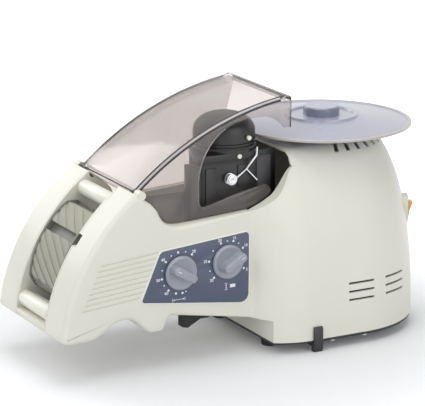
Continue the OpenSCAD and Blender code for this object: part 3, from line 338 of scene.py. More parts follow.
def make_finishes():
    """One material for each of the record's slots, and more for rims, print, and the painted shade and
    painted highlight on the hood's edges.
    """
    c = settings().colours
    body, metal, black, dark = tuple(c.body), tuple(c.metal), tuple(c.mechanism), tuple(c.brackets)
    return {
        "cream_plastic": moulded("cream_plastic", body, 0.44, grain=1100.0, depth=0.00003, vary=0.018,
                                 coat=0.2),
        "slate_panel": moulded("slate_panel", tuple(c.panel), 0.4, grain=1500.0, vary=0.05, coat=0.1),
        "knob_plastic": moulded("knob_plastic", tuple(c.knob), 0.28, grain=500.0, depth=0.00002, coat=0.35),
        "smoke_plastic": smoked_sheet("smoke_plastic", tuple(c.hood)),
        # Painted light for the hood's edges: dark opaque smoke as painted shade, pale gloss as a painted
        # highlight
        "smoke_edge": moulded("smoke_edge", tone(30, 27, 28), 0.45, grain=400.0, vary=0.15),
        "smoke_glint": moulded("smoke_glint", tone(176, 172, 174), 0.2, grain=400.0, vary=0.06, coat=0.3),
        "reel_plastic": reel_gloss("reel_plastic", tuple(c.reel)),
        "reel_rim": moulded("reel_rim", tone(186, 182, 178), 0.35, vary=0.03, coat=0.2),
        "hub_plastic": reel_gloss("hub_plastic", tuple(c.hub)),
        "pad_rubber": ribbed_rubber("pad_rubber", tuple(c.pads)),
        "rotor_plastic": moulded("rotor_plastic", tuple(c.rotor), 0.5),
        "white_plastic": moulded("white_plastic", tuple(c.rollers), 0.34, coat=0.2, vary=0.02),
        "black_plastic": moulded("black_plastic", black, 0.4, grain=800.0, depth=0.000015, vary=0.25),
        "black_paint": moulded("black_paint", dark, 0.48, grain=600.0, depth=0.00002, vary=0.2),
        "black_rubber": moulded("black_rubber", scaled(dark, 0.8), 0.75, grain=1200.0, depth=0.00008,
                                vary=0.2),
        "steel": turned_metal("steel", metal, 0.24),
        "bronze": turned_metal("bronze", tone(190, 158, 98), 0.35),
        "roller_rubber": moulded("roller_rubber", tone(60, 58, 60), 0.7, grain=1300.0, depth=0.00008,
                                 vary=0.15),
        "felt": felt_cloth("felt", tone(66, 66, 70)),
        "core_steel": turned_metal("core_steel", tone(92, 92, 96), 0.5, (1.0, 1.0, 60.0)),
        "motor_case": turned_metal("motor_case", tone(178, 180, 184), 0.3),
        "board": moulded("board", tone(32, 92, 56), 0.45, grain=300.0, vary=0.2),
        "rocker_orange": moulded("rocker_orange", tuple(c.rocker), 0.25, vary=0.05, coat=0.4),
        "ink": moulded("ink", tuple(c.ink), 0.5, grain=2000.0, vary=0.03),
        "rim_white": moulded("rim_white", tone(236, 236, 230), 0.4, vary=0.02),
    }


FINISHES = {}


def finish(slot):
    """A finish by its name. All are made on the first call."""
    if not FINISHES:
        FINISHES.update(make_finishes())
    return FINISHES[slot]


# Mesh helpers: points are in millimetres until a piece is made

# Distances under which points are joined, in metres: in a finished piece, and in a CAD node's mesh
WELD = 2e-6
NODE_WELD = 1e-5


def linked(name, data):
    """A new object in the scene."""
    obj = bpy.data.objects.new(name, data)
    bpy.context.scene.collection.objects.link(obj)
    return obj


def solid(name, points, faces):
    """A mesh object from points in millimetres."""
    mesh = bpy.data.meshes.new(name)
    mesh.from_pydata([tuple(c * MM for c in p) for p in points], [], faces)
    mesh.update()
    bm = bmesh.new()
    bm.from_mesh(mesh)
    bmesh.ops.recalc_face_normals(bm, faces=bm.faces)
    bm.to_mesh(mesh)
    bm.free()
    return linked(name, mesh)


def lofted(name, rings, closed_ends=True):
    """A mesh object through rings that have the same number of points."""
    count = len(rings[0])
    points = [p for ring in rings for p in ring]
    faces = []
    for k in range(len(rings) - 1):
        for i in range(count):
            a, b = k * count + i, k * count + (i + 1) % count
            faces.append((a, b, b + count, a + count))
    if closed_ends:
        faces.append(tuple(reversed(range(count))))
        faces.append(tuple(range((len(rings) - 1) * count, len(rings) * count)))
    return solid(name, points, faces)


def turned(name, profile, sides=96):
    """A mesh object turned about z from (radius, height) points, flat at both ends."""
    ring = [(math.cos(2 * math.pi * i / sides), math.sin(2 * math.pi * i / sides)) for i in range(sides)]
    return lofted(name, [[(r * c, r * s, z) for c, s in ring] for r, z in profile])


def block(name, low, high):
    """A box between two corners."""
    corners = ((low[0], low[1]), (high[0], low[1]), (high[0], high[1]), (low[0], high[1]))
    return lofted(name, [[(x, y, z) for x, y in corners] for z in (low[2], high[2])])


def bar_y(name, centre, radius, y0, y1, sides=96):
    """A round bar along Y."""
    turns = [2 * math.pi * i / sides for i in range(sides)]
    circle = [(centre[0] + radius * math.cos(a), centre[1] + radius * math.sin(a)) for a in turns]
    return lofted(name, [[(x, y, z) for x, z in circle] for y in (y0, y1)])


def carve(obj, tools, operation="DIFFERENCE"):
    """Cuts the tools out of a piece, or joins them to it, and removes them."""
    for tool in tools:
        step = obj.modifiers.new("carve", "BOOLEAN")
        step.operation, step.solver, step.object = operation, "EXACT", tool
    bpy.context.view_layer.update()
    made = bpy.data.meshes.new_from_object(obj.evaluated_get(bpy.context.evaluated_depsgraph_get()))
    obj.modifiers.clear()
    obj.data = made
    for tool in tools:
        bpy.data.objects.remove(tool)
    return obj


def place(obj, matrix):
    """Moves a piece's mesh."""
    obj.data.transform(matrix)
    return obj


def smooth(bm, angle):
    """Smooth faces, with edges over the angle kept sharp."""
    for face in bm.faces:
        face.smooth = True
    for edge in bm.edges:
        edge.smooth = edge.is_manifold and edge.calc_face_angle(0.0) < math.radians(angle)


def settle(obj, slot, body, *nodes, angle=35.0, material=None, more=()):
    """Finishes a piece: clean mesh, its materials, the body it rides on and the nodes it stands for."""
    bm = bmesh.new()
    bm.from_mesh(obj.data)
    bmesh.ops.remove_doubles(bm, verts=bm.verts, dist=WELD)
    bmesh.ops.recalc_face_normals(bm, faces=bm.faces)
    smooth(bm, angle)
    bm.to_mesh(obj.data)
    bm.free()
    if obj.data.materials:
        obj.data.materials.clear()
    for coat in (material or finish(slot), *more):
        obj.data.materials.append(coat)
    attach(obj, body)
    if nodes:
        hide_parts(*nodes)
    return obj


def eased(node, edge=0.0, angle=30.0, shape=None, more=()):
    """A piece with a CAD node's form: shaped, then eased by edge millimetres along its sharp edges."""
    bm = bmesh.new()
    bm.from_mesh(NODES[node].data)
    bmesh.ops.remove_doubles(bm, verts=bm.verts, dist=NODE_WELD)
    bm.normal_update()
    if edge:
        bmesh.ops.dissolve_limit(bm, angle_limit=math.radians(0.4), verts=bm.verts, edges=bm.edges)
    if shape:
        shape(bm)
    if edge:
        sharp = [e for e in bm.edges if e.is_manifold and e.calc_face_angle(0.0) > math.radians(angle)]
        bmesh.ops.bevel(bm, geom=sharp, offset=edge * MM, offset_type="OFFSET", segments=2, profile=0.5,
                        affect="EDGES", clamp_overlap=True)
    mesh = bpy.data.meshes.new(node + "_eased")
    bm.to_mesh(mesh)
    bm.free()
    return settle(linked(node + "_eased", mesh), SLOT_OF[node], BODY_OF[node], node, angle=angle + 8.0,
                  more=more)


def ease_all(edges):
    """Pieces with the forms of several CAD nodes, each eased by its own millimetres."""
    for node, edge in edges.items():
        eased(node, edge)


def bez(a, b, c, d, count):
    """Points on a curve from a to d, drawn towards b and c."""
    points = []
    for i in range(count + 1):
        t = i / count
        s = 1 - t
        points.append(tuple(s ** 3 * p + 3 * s * s * t * q + 3 * s * t * t * r + t ** 3 * w
                            for p, q, r, w in zip(a, b, c, d)))
    return points


def half_width(x):
    """Half the width of the nose and waist."""
    return NOSE_HALF - TAPER * (x - TIP_X)


def wall_frame(spot, turn=0.0):
    """Puts x along the near wall, y up and z outwards, about a place on it."""
    return (Matrix.Translation((spot[0] * MM, -half_width(spot[0]) * MM, spot[1] * MM))
            @ Matrix.Rotation(math.atan(TAPER), 4, "Z") @ Matrix.Rotation(math.pi / 2, 4, "X")
            @ Matrix.Rotation(math.radians(turn), 4, "Z"))


# Nose and waist

FACE_RADIUS = 200.0
FACE_TOP = (TIP_X + 82.0, 180.0)
FACE_LOW = (TIP_X, CHIN_Z + 5.0)
FACE_STEPS = 36
ARCH_Z = CHIN_Z + 15.5
NUB_Z = CHIN_Z - 2.4
WAIST_LOW_Z = CHIN_Z + 12.0
SEAM_LOW_Z = CHIN_Z - 3.5
EDGE_STEPS = 8
EAR_RADIUS = 4.4
EAR_END = 71.5
SEAT_RADIUS = 58.8
WELL_HALF = 58.0
BARREL_RADIUS = 5.5
PIN_RADIUS = 2.0
PIN_END = 70.0
BEARING_RADIUS = 8.0
BORE_DEPTH = 4.0
DIAL_HOLE = 4.0
NOTCH_LOW = (TIP_X + 29, 127.5)
NOTCH_HIGH = (TIP_X + 53, 138.5)
GROOVE_COUNT = 9
GROOVE_WIDTH = 1.7
GROOVE_DEPTH = 0.9
GROOVE_START = (TIP_X + 21.6, CHIN_Z + 31.8)
GROOVE_STEP = (2.57, 5.32)
GROOVE_LENGTH = 63.3
GROOVE_SLOPE = 4.1


def face_arc(inset):
    """The front face of the nose, from the hood's edge down to the chin."""
    top, low = Vector(FACE_TOP), Vector(FACE_LOW)
    run = low - top
    half = run.length / 2
    centre = (top + low) / 2 + Vector((-run.y, run.x)).normalized() * math.sqrt(FACE_RADIUS ** 2 - half ** 2)
    first = math.atan2(top.y - centre.y, top.x - centre.x) % (2 * math.pi)
    last = math.atan2(low.y - centre.y, low.x - centre.x) % (2 * math.pi)
    radius = FACE_RADIUS - inset
    turns = [first + (last - first) * i / FACE_STEPS for i in range(FACE_STEPS + 1)]
    return [(centre.x + radius * math.cos(a), centre.y + radius * math.sin(a)) for a in turns]


def side_outline(t=0.0):
    """Side view of the nose and waist, moved inwards by t."""
    x = TIP_X
    face = face_arc(t)
    p = face[-1]
    chin = bez(p, (p[0], CHIN_Z + 2 + t), (x + 4 + t, CHIN_Z + t), (x + 9 + t, CHIN_Z + t), 8)
    under = (bez((x + 29, CHIN_Z + t), (x + 44, CHIN_Z + t), (x + 52, ARCH_Z + t), (x + 69, ARCH_Z + t), 14)
             + bez((x + 69, ARCH_Z + t), (x + 84, ARCH_Z + t), (x + 90, NUB_Z + t), (x + 100, NUB_Z + t), 14)
             + bez((x + 108, NUB_Z + t), (x + 115, NUB_Z + t), (x + 114, WAIST_LOW_Z + t),
                   (x + 121, WAIST_LOW_Z + t), 10)
             + [(SEAM_X, SEAM_LOW_Z + t)])
    rim = ([(SEAM_X, RIM_SEAM_Z - t), (x + 133, RIM_Z - t)]
           + bez((x + 133, RIM_Z - t), (x + 115, RIM_Z - t), (x + 110, RIM_Z + 8 - t),
                 (x + 106, RIM_Z + 18 - t), 14)
           + [(x + 99, RIM_Z + 26 - t)])
    line = face + chin + under + rim
    return [q for i, q in enumerate(line) if math.dist(q, line[(i + 1) % len(line)]) > 0.01]


def inward(line, i):
    """Direction that moves point i of an outline inwards by one, straight up or down on the seam."""
    n = len(line)
    here = Vector(line[i])
    if here.x > SEAM_X - 0.01:
        return Vector((0.0, 1.0 if here.y < DECK_Z else -1.0))
    u = (here - Vector(line[i - 1])).normalized()
    v = (Vector(line[(i + 1) % n]) - here).normalized()
    m = (u + v).normalized()
    return Vector((-m.y, m.x)) / max(0.5, m.dot(u))


def edge_at(x):
    """Edge radius along the body: full on the nose, small at the seam."""
    shells = settings().shells
    u = max(0.0, min(1.0, (x - WAIST_X) / (SEAM_X - WAIST_X)))
    return (shells.edge * (1 - u) + shells.seam_edge * u) / MM


def rounded_half():
    """Near half of the nose and waist, solid, with its outer edge rounded."""
    line = side_outline()
    rings = [[(x, 0.0, z) for x, z in line]]
    for k in range(EDGE_STEPS + 1):
        turn = math.pi / 2 * k / EDGE_STEPS
        ring = []
        for i, point in enumerate(line):
            r = edge_at(point[0])
            q = Vector(point) + inward(line, i) * r * (1 - math.cos(turn))
            ring.append((q.x, -half_width(q.x) + r * (1 - math.sin(turn)), q.y))
        rings.append(ring)
    return lofted("half", rings)


def between_x(line, low, high):
    """The part of an outline between two upright lines."""
    def clip(points, keep, cross):
        out = []
        for i, b in enumerate(points):
            a = points[i - 1]
            if keep(a) != keep(b):
                t = (cross - a[0]) / (b[0] - a[0])
                out.append((cross, a[1] + t * (b[1] - a[1])))
            if keep(b):
                out.append(b)
        return out
    return clip(clip(line, lambda p: p[0] > low, low), lambda p: p[0] < high, high)


def hollow(name, low, high, y_in, top=None):
    """A tool that hollows the shell between two places along it, and past the seam."""
    past = 3.0
    outline = [(x + (past if x > SEAM_X - 0.01 else 0.0), z) for x, z in side_outline(WALL)]
    line = between_x(outline, low, high)
    if top:
        line = [(x, min(z, top)) for x, z in line]
    return lofted(name, [[(x, -y_in, z) for x, z in line], [(x, -half_width(x) + WALL, z) for x, z in line]])


def grooves():
    """The shallow grooves on the side of the nose, as one tool."""
    proud, half = 1.2, GROOVE_WIDTH / 2
    points, faces = [], []
    for i in range(GROOVE_COUNT):
        matrix = wall_frame((GROOVE_START[0] + GROOVE_STEP[0] * i, GROOVE_START[1] + GROOVE_STEP[1] * i),
                            GROOVE_SLOPE)
        reach = GROOVE_LENGTH - 0.1 * i
        start = len(points)
        for z in (-GROOVE_DEPTH, proud):
            for x, y in ((0, -half), (reach, -half), (reach, half), (0, half)):
                points.append(tuple(c / MM for c in matrix @ Vector((x * MM, y * MM, z * MM))))
        faces += [tuple(start + k for k in f) for f in
                  ((3, 2, 1, 0), (4, 5, 6, 7), (0, 1, 5, 4), (1, 2, 6, 5), (2, 3, 7, 6), (3, 0, 4, 7))]
    return solid("grooves", points, faces)


def bay_line():
    """A tool for the fine groove down the arm's face, beside the bay."""
    proud, depth, beside = 1.0, 0.7, 2.2
    line = face_arc(-proud) + face_arc(depth)[::-1]
    near = -BAY_HALF - beside
    return lofted("line", [[(x, y, z) for x, z in line] for y in (near - settings().shells.line / MM, near)])


def housing_half(near):
    """One half of the nose and waist. The near half has the notch and the dial holes too."""
    shell = rounded_half()
    rim_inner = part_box("hood")[1].y / MM + 1.0
    bore_end = -BAY_HALF - BORE_DEPTH
    carve(shell, [bar_y("ear", HINGE, EAR_RADIUS, -EAR_END, -rim_inner)], "UNION")
    carve(shell, [block("bay", (TIP_X - 5, -BAY_HALF, -5), (WAIST_X, 5, 300)),
                  bar_y("seat", CAROUSEL, SEAT_RADIUS, -BAY_HALF + 0.05, 5)])
    carve(shell, [hollow("nose", TIP_X - 5, WAIST_X - 6, BAY_HALF + WALL),
                  hollow("pass", WAIST_X - 6.4, WAIST_X + WALL + 0.4, BAY_HALF + WALL + 0.1, DECK_Z - 0.1),
                  hollow("waist", WAIST_X + WALL, SEAM_X + 2, -2.0, DECK_Z)])
    tools = [block("well", (WAIST_X + WALL, -WELL_HALF, DECK_Z - 3), (SEAM_X + 6, 3, 290)),
             bar_y("barrel", HINGE, BARREL_RADIUS, -rim_inner, 3),
             bar_y("pin", HINGE, PIN_RADIUS, -PIN_END, 3, 32),
             bar_y("bearing", CAROUSEL, BEARING_RADIUS, bore_end, 3, 48)]
    tools += [bar_y("axle", p, PIN_RADIUS, bore_end, 3, 32) for p in (TOP_ROLLER, LOW_ROLLER)]
    carve(shell, tools)
    carve(shell, [grooves(), bay_line()])
    if near:
        notch = block("notch", (NOTCH_LOW[0], -BAY_HALF - 8, NOTCH_LOW[1]),
                      (NOTCH_HIGH[0], -BAY_HALF + 2, NOTCH_HIGH[1]))
        holes = [place(turned("hole", [(DIAL_HOLE, -20.0), (DIAL_HOLE, 10.0)], 32), wall_frame(dial))
                 for dial in (LENGTH_DIAL, WIDTH_DIAL)]
        carve(shell, [notch] + holes)
    return shell


class TAPE_OT_nose_housing(bpy.types.Operator):
    """Builds both halves of the nose and waist, with rounded edges"""

    bl_idname = "tape.nose_housing"
    bl_label = "Nose housing"

    def execute(self, context):
        near = housing_half(True)
        far = housing_half(False)
        place(far, Matrix.Scale(-1, 4, (0, 1, 0)))
        for obj, node in ((near, "right_housing"), (far, "left_housing")):
            obj.name = obj.data.name = node + "_shell"
            settle(obj, "cream_plastic", "chassis", node, angle=32.0)
        return {"FINISHED"}


class TAPE_OT_rear_housing(bpy.types.Operator):
    """Finishes the rear housing, its base, feet and brackets"""

    bl_idname = "tape.rear_housing"
    bl_label = "Rear housing and base"

    def execute(self, context):
        eased("rear_housing", angle=26.0)
        ease_all({"base_plate": 0.4, "base_feet": 0.6, "side_brackets": 0.5, "base_screws": 0.25,
                  "rest_pads": 0.5})
        return {"FINISHED"}


class TAPE_OT_carousel(bpy.types.Operator):
    """Finishes the carousel, its bay and its drive"""

    bl_idname = "tape.carousel"
    bl_label = "Carousel"

    def execute(self, context):
        ease_all({"chin_bar": 0.6, "carousel_cradle": 0.0, "carousel_rotor": 0.0, "carousel_pads": 0.0,
                  "carousel_shaft": 0.4, "carousel_bearings": 0.2, "carousel_pulley": 0.0,
                  "motor_pulley": 0.0, "motor_shaft": 0.3, "drive_belt": 0.3, "carousel_motor": 0.4,
                  "upper_roller": 0.5, "lower_roller": 0.5, "roller_axles": 0.2, "tape_sensor": 0.3})
        return {"FINISHED"}


# Dial panel

# Centres and radii of the panel's corners, about the length dial
PANEL_CORNERS = ((-39.8, -22.3, 2.5), (68.9, -32.4, 8.5), (73.7, 26.2, 4), (-17.8, 18, 6))
CORNER_SIDES = 64


def panel_line(grow):
    """Outline of the panel on the wall, about the length dial, grown outwards."""
    turns = [2 * math.pi * i / CORNER_SIDES for i in range(CORNER_SIDES)]
    points = [(cx + (r + grow) * math.cos(a), cy + (r + grow) * math.sin(a))
              for cx, cy, r in PANEL_CORNERS for a in turns]
    points = sorted(set((round(x, 5), round(y, 5)) for x, y in points))

    def chain(order):
        line = []
        for p in order:
            while len(line) > 1 and ((line[-1][0] - line[-2][0]) * (p[1] - line[-2][1])
                                     - (line[-1][1] - line[-2][1]) * (p[0] - line[-2][0])) <= 0:
                line.pop()
            line.append(p)
        return line[:-1]
    return chain(points) + chain(reversed(points))


def stroke(name, outline, low, high):
    """A flat mark between two heights over its outline."""
    return lofted(name, [[(x, y, low) for x, y in outline], [(x, y, high) for x, y in outline]])


def joined(name, objs):
    """One object from several."""
    bm = bmesh.new()
    for obj in objs:
        bm.from_mesh(obj.data)
        bpy.data.objects.remove(obj)
    mesh = bpy.data.meshes.new(name)
    bm.to_mesh(mesh)
    bm.free()
    return linked(name, mesh)


INK_LOW = PANEL_T + 0.004
INK_HIGH = PANEL_T + 0.05
INK_SPREAD = 0.00006


def dot(angle, radius):
    """A printed dot on the ring about a dial."""
    ring = settings().dials.ring / MM
    cx, cy = ring * math.cos(math.radians(angle)), ring * math.sin(math.radians(angle))
    return stroke("dot", [(cx + radius * math.cos(math.pi * i / 10), cy + radius * math.sin(math.pi * i / 10))
                          for i in range(20)], INK_LOW, INK_HIGH)


def numeral(text, angle, reach):
    """A printed number, upright on the panel, centred beyond its dot."""
    curve = bpy.data.curves.new("numeral", "FONT")
    curve.body = text
    curve.size = settings().dials.numeral
    curve.align_x, curve.align_y = "CENTER", "CENTER"
    curve.extrude = (INK_HIGH - INK_LOW) / 2 * MM
    curve.offset = INK_SPREAD
    obj = linked("numeral", curve)
    bpy.context.view_layer.update()
    mesh = bpy.data.meshes.new_from_object(obj.evaluated_get(bpy.context.evaluated_depsgraph_get()))
    bpy.data.objects.remove(obj)
    made = linked("numeral", mesh)
    turn = math.radians(angle)
    mesh.transform(Matrix.Translation((reach * math.cos(turn) * MM, reach * math.sin(turn) * MM,
                                       (INK_LOW + INK_HIGH) / 2 * MM)))
    return made


def arrow_mark(x, y, half, upright):
    """A two-headed arrow between two end bars, for a length or a width."""
    def at(u, v):
        return (x + v, y + u) if upright else (x + u, y + v)
    thick, head, bar = 0.22, 1.0, 1.7
    end, tip, neck = half - 1.4, half - 0.5, half - 2.2
    shapes = [[(-half + 1.4, -thick), (end, -thick), (end, thick), (-half + 1.4, thick)]]
    for s in (-1, 1):
        shapes.append([(s * tip, 0.0), (s * neck, -head), (s * neck, head)])
        shapes.append([(s * half - thick, -bar), (s * half + thick, -bar), (s * half + thick, bar),
                       (s * half - thick, bar)])
    return [stroke("mark", [at(u, v) for u, v in shape], INK_LOW, INK_HIGH) for shape in shapes]


# Numbered and plain dots by their angle, in degrees
LENGTH_MARKS = {52: "20", 97: "", 141: "40", 190: "50", 230: "60", 256: "", 276: ""}
LENGTH_SMALL = (74, 119, 166, 210, 287)
WIDTH_MARKS = {-27: "5", 33: "10", 71: "15", 111: "20", 172: "25", 223: "30"}
WIDTH_SMALL = (53, 90, 141, 199)


class TAPE_OT_dial_panel(bpy.types.Operator):
    """Builds the dial panel, its pale rim and its printed scales"""

    bl_idname = "tape.dial_panel"
    bl_label = "Dial panel"

    def execute(self, context):
        eased("control_panel", 0.2)
        self.build_rim()
        self.print_scale("length_scale", LENGTH_DIAL, LENGTH_MARKS, LENGTH_SMALL,
                         arrow_mark(-2.0, -27.0, 7.0, False))
        strip = [(3.0, -27.2), (9.0, -27.2), (9.0, -23.8), (3.0, -23.8)]
        self.print_scale("width_scale", WIDTH_DIAL, WIDTH_MARKS, WIDTH_SMALL,
                         arrow_mark(-1.5, -25.5, 3.2, True) + [stroke("strip", strip, INK_LOW, INK_HIGH)])
        return {"FINISHED"}

    def build_rim(self):
        """The pale rim round the panel."""
        width = settings().dials.rim / MM
        gap, chamfer, foot = 0.08, 0.3, 0.02
        grown = [panel_line(g) for g in (gap, gap, chamfer, width - chamfer, width, width)]
        count = min(len(line) for line in grown)
        if any(len(line) != count for line in grown):
            raise RuntimeError("the rim's outlines differ in their points")
        heights = (foot, PANEL_T + 0.1, PANEL_T + chamfer, PANEL_T + chamfer, PANEL_T, foot)
        rings = [[(x, y, z) for x, y in line] for line, z in zip(grown, heights)]
        rim = lofted("panel_rim", rings + [rings[0]], closed_ends=False)
        place(rim, wall_frame(LENGTH_DIAL))
        settle(rim, "cream_plastic", "chassis", material=finish("rim_white"))

    def print_scale(self, name, spot, marks, small, extra):
        """Dots, numbers and a pictogram about one dial."""
        dials = settings().dials
        ring = dials.ring / MM
        objs = [dot(a, dials.large_dot / MM) for a in marks]
        objs += [dot(a, dials.small_dot / MM) for a in small] + extra
        for angle, text in marks.items():
            if text:
                objs.append(numeral(text, angle, ring + 2.6 + 1.6 * abs(math.cos(math.radians(angle)))))
        scale = place(joined(name, objs), wall_frame(spot))
        settle(scale, "slate_panel", "chassis", material=finish("ink"))


# Dials

KNOB_BASE = PANEL_T + 0.3
GRIP_TOP = 15.45
# Radius and height of the skirt's profile, and of the grip bar's outline, over the knob's base
SKIRT = ((16.6, 0.0), (17.3, 0.5), (17.5, 1.1), (17.2, 2.2), (16.5, 3.4), (15.9, 3.9), (15.0, 4.0),
         (14.0, 3.7), (4.0, 3.5))
GRIP = ((5.3, 3.0), (5.1, 3.8), (4.95, 5.0), (4.4, 13.8), (4.1, 14.8), (3.5, 15.3), (2.6, GRIP_TOP))
GRIP_ENDS = (-7.5, 11.2)
# Each dial with its place and its turn at rest, in degrees
DIALS = (("length", LENGTH_DIAL, 150.0), ("width", WIDTH_DIAL, 30.5))


def capsule(low, high, radius):
    """Outline of a bar with round ends along x."""
    count = 14
    points = []
    for x, first in ((high, -math.pi / 2), (low, math.pi / 2)):
        points += [(x + radius * math.cos(first + math.pi * i / count),
                    radius * math.sin(first + math.pi * i / count)) for i in range(count + 1)]
    return points


def knob(name):
    """A skirted knob with a grip bar along x, its base on the panel's face."""
    skirt = turned(name, [(radius, KNOB_BASE + height) for radius, height in SKIRT])
    rings = [[(x, y, KNOB_BASE + height) for x, y in capsule(*GRIP_ENDS, radius)] for radius, height in GRIP]
    return carve(skirt, [lofted("grip", rings)], "UNION")


class TAPE_OT_dials(bpy.types.Operator):
    """Builds the two setting knobs with their pointers"""

    bl_idname = "tape.dials"
    bl_label = "Dials"

    def execute(self, context):
        for which, spot, turn in DIALS:
            made = place(knob(which + "_knob_grip"), wall_frame(spot, turn))
            settle(made, "knob_plastic", which + "_dial", which + "_knob", angle=40.0)
            top = KNOB_BASE + GRIP_TOP
            bar = [(8.6, -0.3), (12.6, -0.3), (12.6, 0.3), (8.6, 0.3)]
            line = stroke(which + "_pointer", bar, top - 0.1, top + 0.04)
            settle(place(line, wall_frame(spot, turn)), "knob_plastic", which + "_dial",
                   material=finish("ink"))
            eased(which + "_shaft", 0.3)
            eased(which + "_potentiometer", 0.3)
        return {"FINISHED"}


# The hood's material slots after the clear sheet: painted shade and a painted highlight for its edges
PAINTED_SHADE_SLOT = 1
PAINTED_HIGHLIGHT_SLOT = 2
SHADE_BEAD_AT = (HINGE[0] - 3.2, HINGE[1] + 2.4)
CROWN_START = 3.5
CROWN_PARTS = 6
END_PARTS = 4


class TAPE_OT_hood(bpy.types.Operator):
    """Finishes the smoked hood and its pins, with painted shade and a painted highlight on its edges, and a
    dark bead of painted shade along its front
    """

    bl_idname = "tape.hood"
    bl_label = "Hood"

    def execute(self, context):
        hood = settings().hood
        eased("hood", hood.edge / MM, shape=self.round_crown,
              more=(finish("smoke_edge"), finish("smoke_glint")))
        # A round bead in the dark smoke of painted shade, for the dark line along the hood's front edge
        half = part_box("hood")[1].y / MM - 0.4
        settle(bar_y("hood_bead", SHADE_BEAD_AT, hood.bead / MM, -half, half, 24), "smoke_plastic", BODY_OF["hood"],
               material=finish("smoke_edge"))
        eased("hood_hinge_pins", 0.3)
        return {"FINISHED"}

    def round_crown(self, bm):
        """Rounds the crown's long edges and the rear end, and colours their faces with painted shade, with a
        painted highlight on a band of the crown's edges.
        """
        hood = settings().hood
        half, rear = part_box("hood")[1].y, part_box("hood")[1].x
        bm.normal_update()

        def outer(edge):
            a, b = (v.co for v in edge.verts)
            return min(abs(a.y), abs(b.y)) > half - 1e-5 and abs(a.y - b.y) < 1e-5 and edge.is_manifold

        def on_crown(edge):
            a, b = (v.co for v in edge.verts)
            along = min(a.z, b.z) > (HINGE[1] + CROWN_START) * MM and max(a.x, b.x) < rear - 0.005
            above = any(f.normal.z > 0.2 and abs(f.normal.y) < 0.1 for f in edge.link_faces)
            return outer(edge) and along and above

        def on_end(edge):
            a, b = (v.co for v in edge.verts)
            return outer(edge) and min(a.x, b.x) > rear - 1e-5 and edge.calc_length() > 0.02
        crown = [e for e in bm.edges if on_crown(e)]
        end = [e for e in bm.edges if on_end(e)]
        if not crown or not end:
            raise RuntimeError("the hood's edges were not found")
        for edges, radius, parts in ((crown, hood.crown_edge, CROWN_PARTS), (end, hood.end_edge, END_PARTS)):
            made = bmesh.ops.bevel(bm, geom=edges, offset=radius, offset_type="OFFSET", segments=parts,
                                   profile=0.5, affect="EDGES", clamp_overlap=False)
            for face in made["faces"]:
                # Faces turned part way to the side get the painted highlight, all others the painted shade
                painted_highlight = edges is crown and 0.58 < abs(face.normal.y) < 0.85
                face.material_index = PAINTED_HIGHLIGHT_SLOT if painted_highlight else PAINTED_SHADE_SLOT
        bm.normal_update()
        # Painted shade on the flat rear end, and a painted highlight on the faces of the arch's cut in the
        # near wall
        for face in bm.faces:
            middle = face.calc_center_median()
            near_cut = abs(face.normal.x) > 0.5 and abs(face.normal.y) < 0.1 and middle.y < -half + 0.003
            if face.normal.x > 0.9 and middle.x > rear - 0.001:
                face.material_index = PAINTED_SHADE_SLOT
            elif near_cut and middle.x < 0.0:
                face.material_index = PAINTED_HIGHLIGHT_SLOT


class TAPE_OT_feed_head(bpy.types.Operator):
    """Finishes the feed head: frame, drum cover, rollers, cutter and tape guides"""

    bl_idname = "tape.feed_head"
    bl_label = "Feed head"

    def execute(self, context):
        ease_all({"deck_plate": 0.3, "feed_frame": 0.7, "drum_cover": 0.0, "feed_roller": 0.4,
                  "press_roller": 0.4, "feed_motor": 0.4, "cutter_block": 0.6, "cutter_blade": 0.1,
                  "guide_plates": 0.3, "guide_pins": 0.5, "guide_screw": 0.2, "guide_washers": 0.15,
                  "guide_wire": 0.0})
        return {"FINISHED"}


class TAPE_OT_reel(bpy.types.Operator):
    """Finishes the reel platter, hub, spindle and brake felt"""

    bl_idname = "tape.reel"
    bl_label = "Reel"

    def execute(self, context):
        eased("reel_platter", shape=self.mark_rim, more=(finish("reel_rim"),))
        eased("reel_hub", shape=self.mark_top, more=(finish("reel_plastic"),))
        ease_all({"reel_spindle": 0.4, "felt_washer": 0.2})
        return {"FINISHED"}

    def mark_rim(self, bm):
        """Gives the platter's rim its own finish."""
        rim_width = 3.2
        inside = (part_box("reel_platter")[1].y / MM - rim_width) * MM
        for face in bm.faces:
            middle = face.calc_center_median()
            if math.hypot(middle.x - REEL_X * MM, middle.y) > inside:
                face.material_index = 1

    def mark_top(self, bm):
        """Gives the hub's flat top the platter's finish."""
        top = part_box("reel_hub")[1].z
        for face in bm.faces:
            if face.normal.z > 0.9 and face.calc_center_median().z > top - 1e-4:
                face.material_index = 1


class TAPE_OT_electrics(bpy.types.Operator):
    """Finishes the switch, the supply inlet and the pieces inside the rear housing"""

    bl_idname = "tape.electrics"
    bl_label = "Switch and electrics"

    def execute(self, context):
        ease_all({"switch_bezel": 0.5, "power_rocker": 0.5, "power_inlet": 0.4, "transformer": 0.6,
                  "circuit_board": 0.2, "board_spacers": 0.3})
        return {"FINISHED"}


# Studio

CAMERA_AT = (-1.157, -2.136, 0.800)
CAMERA_AIM = (0.0086, 0.0327, 0.1294)
# Each lamp with its place, what it points at and its width, in metres
LAMPS = (("key", (-1.7, -0.9, 1.5), (-0.1, 0.0, 0.12), 1.5),
         ("nose", (-2.1, -0.3, 0.55), (-0.18, 0.0, 0.1), 1.0),
         ("back", (-0.8, 1.9, 1.1), (-0.08, 0.0, 0.2), 1.2),
         ("fill", (0.5, -2.0, 0.9), (0.05, 0.0, 0.1), 1.6),
         ("top", (0.1, 0.1, 2.0), (0.0, 0.0, 0.1), 1.8))
FLOOR_HALF = 6.0
FLOOR_COLOUR = (0.8, 0.81, 0.83, 1.0)
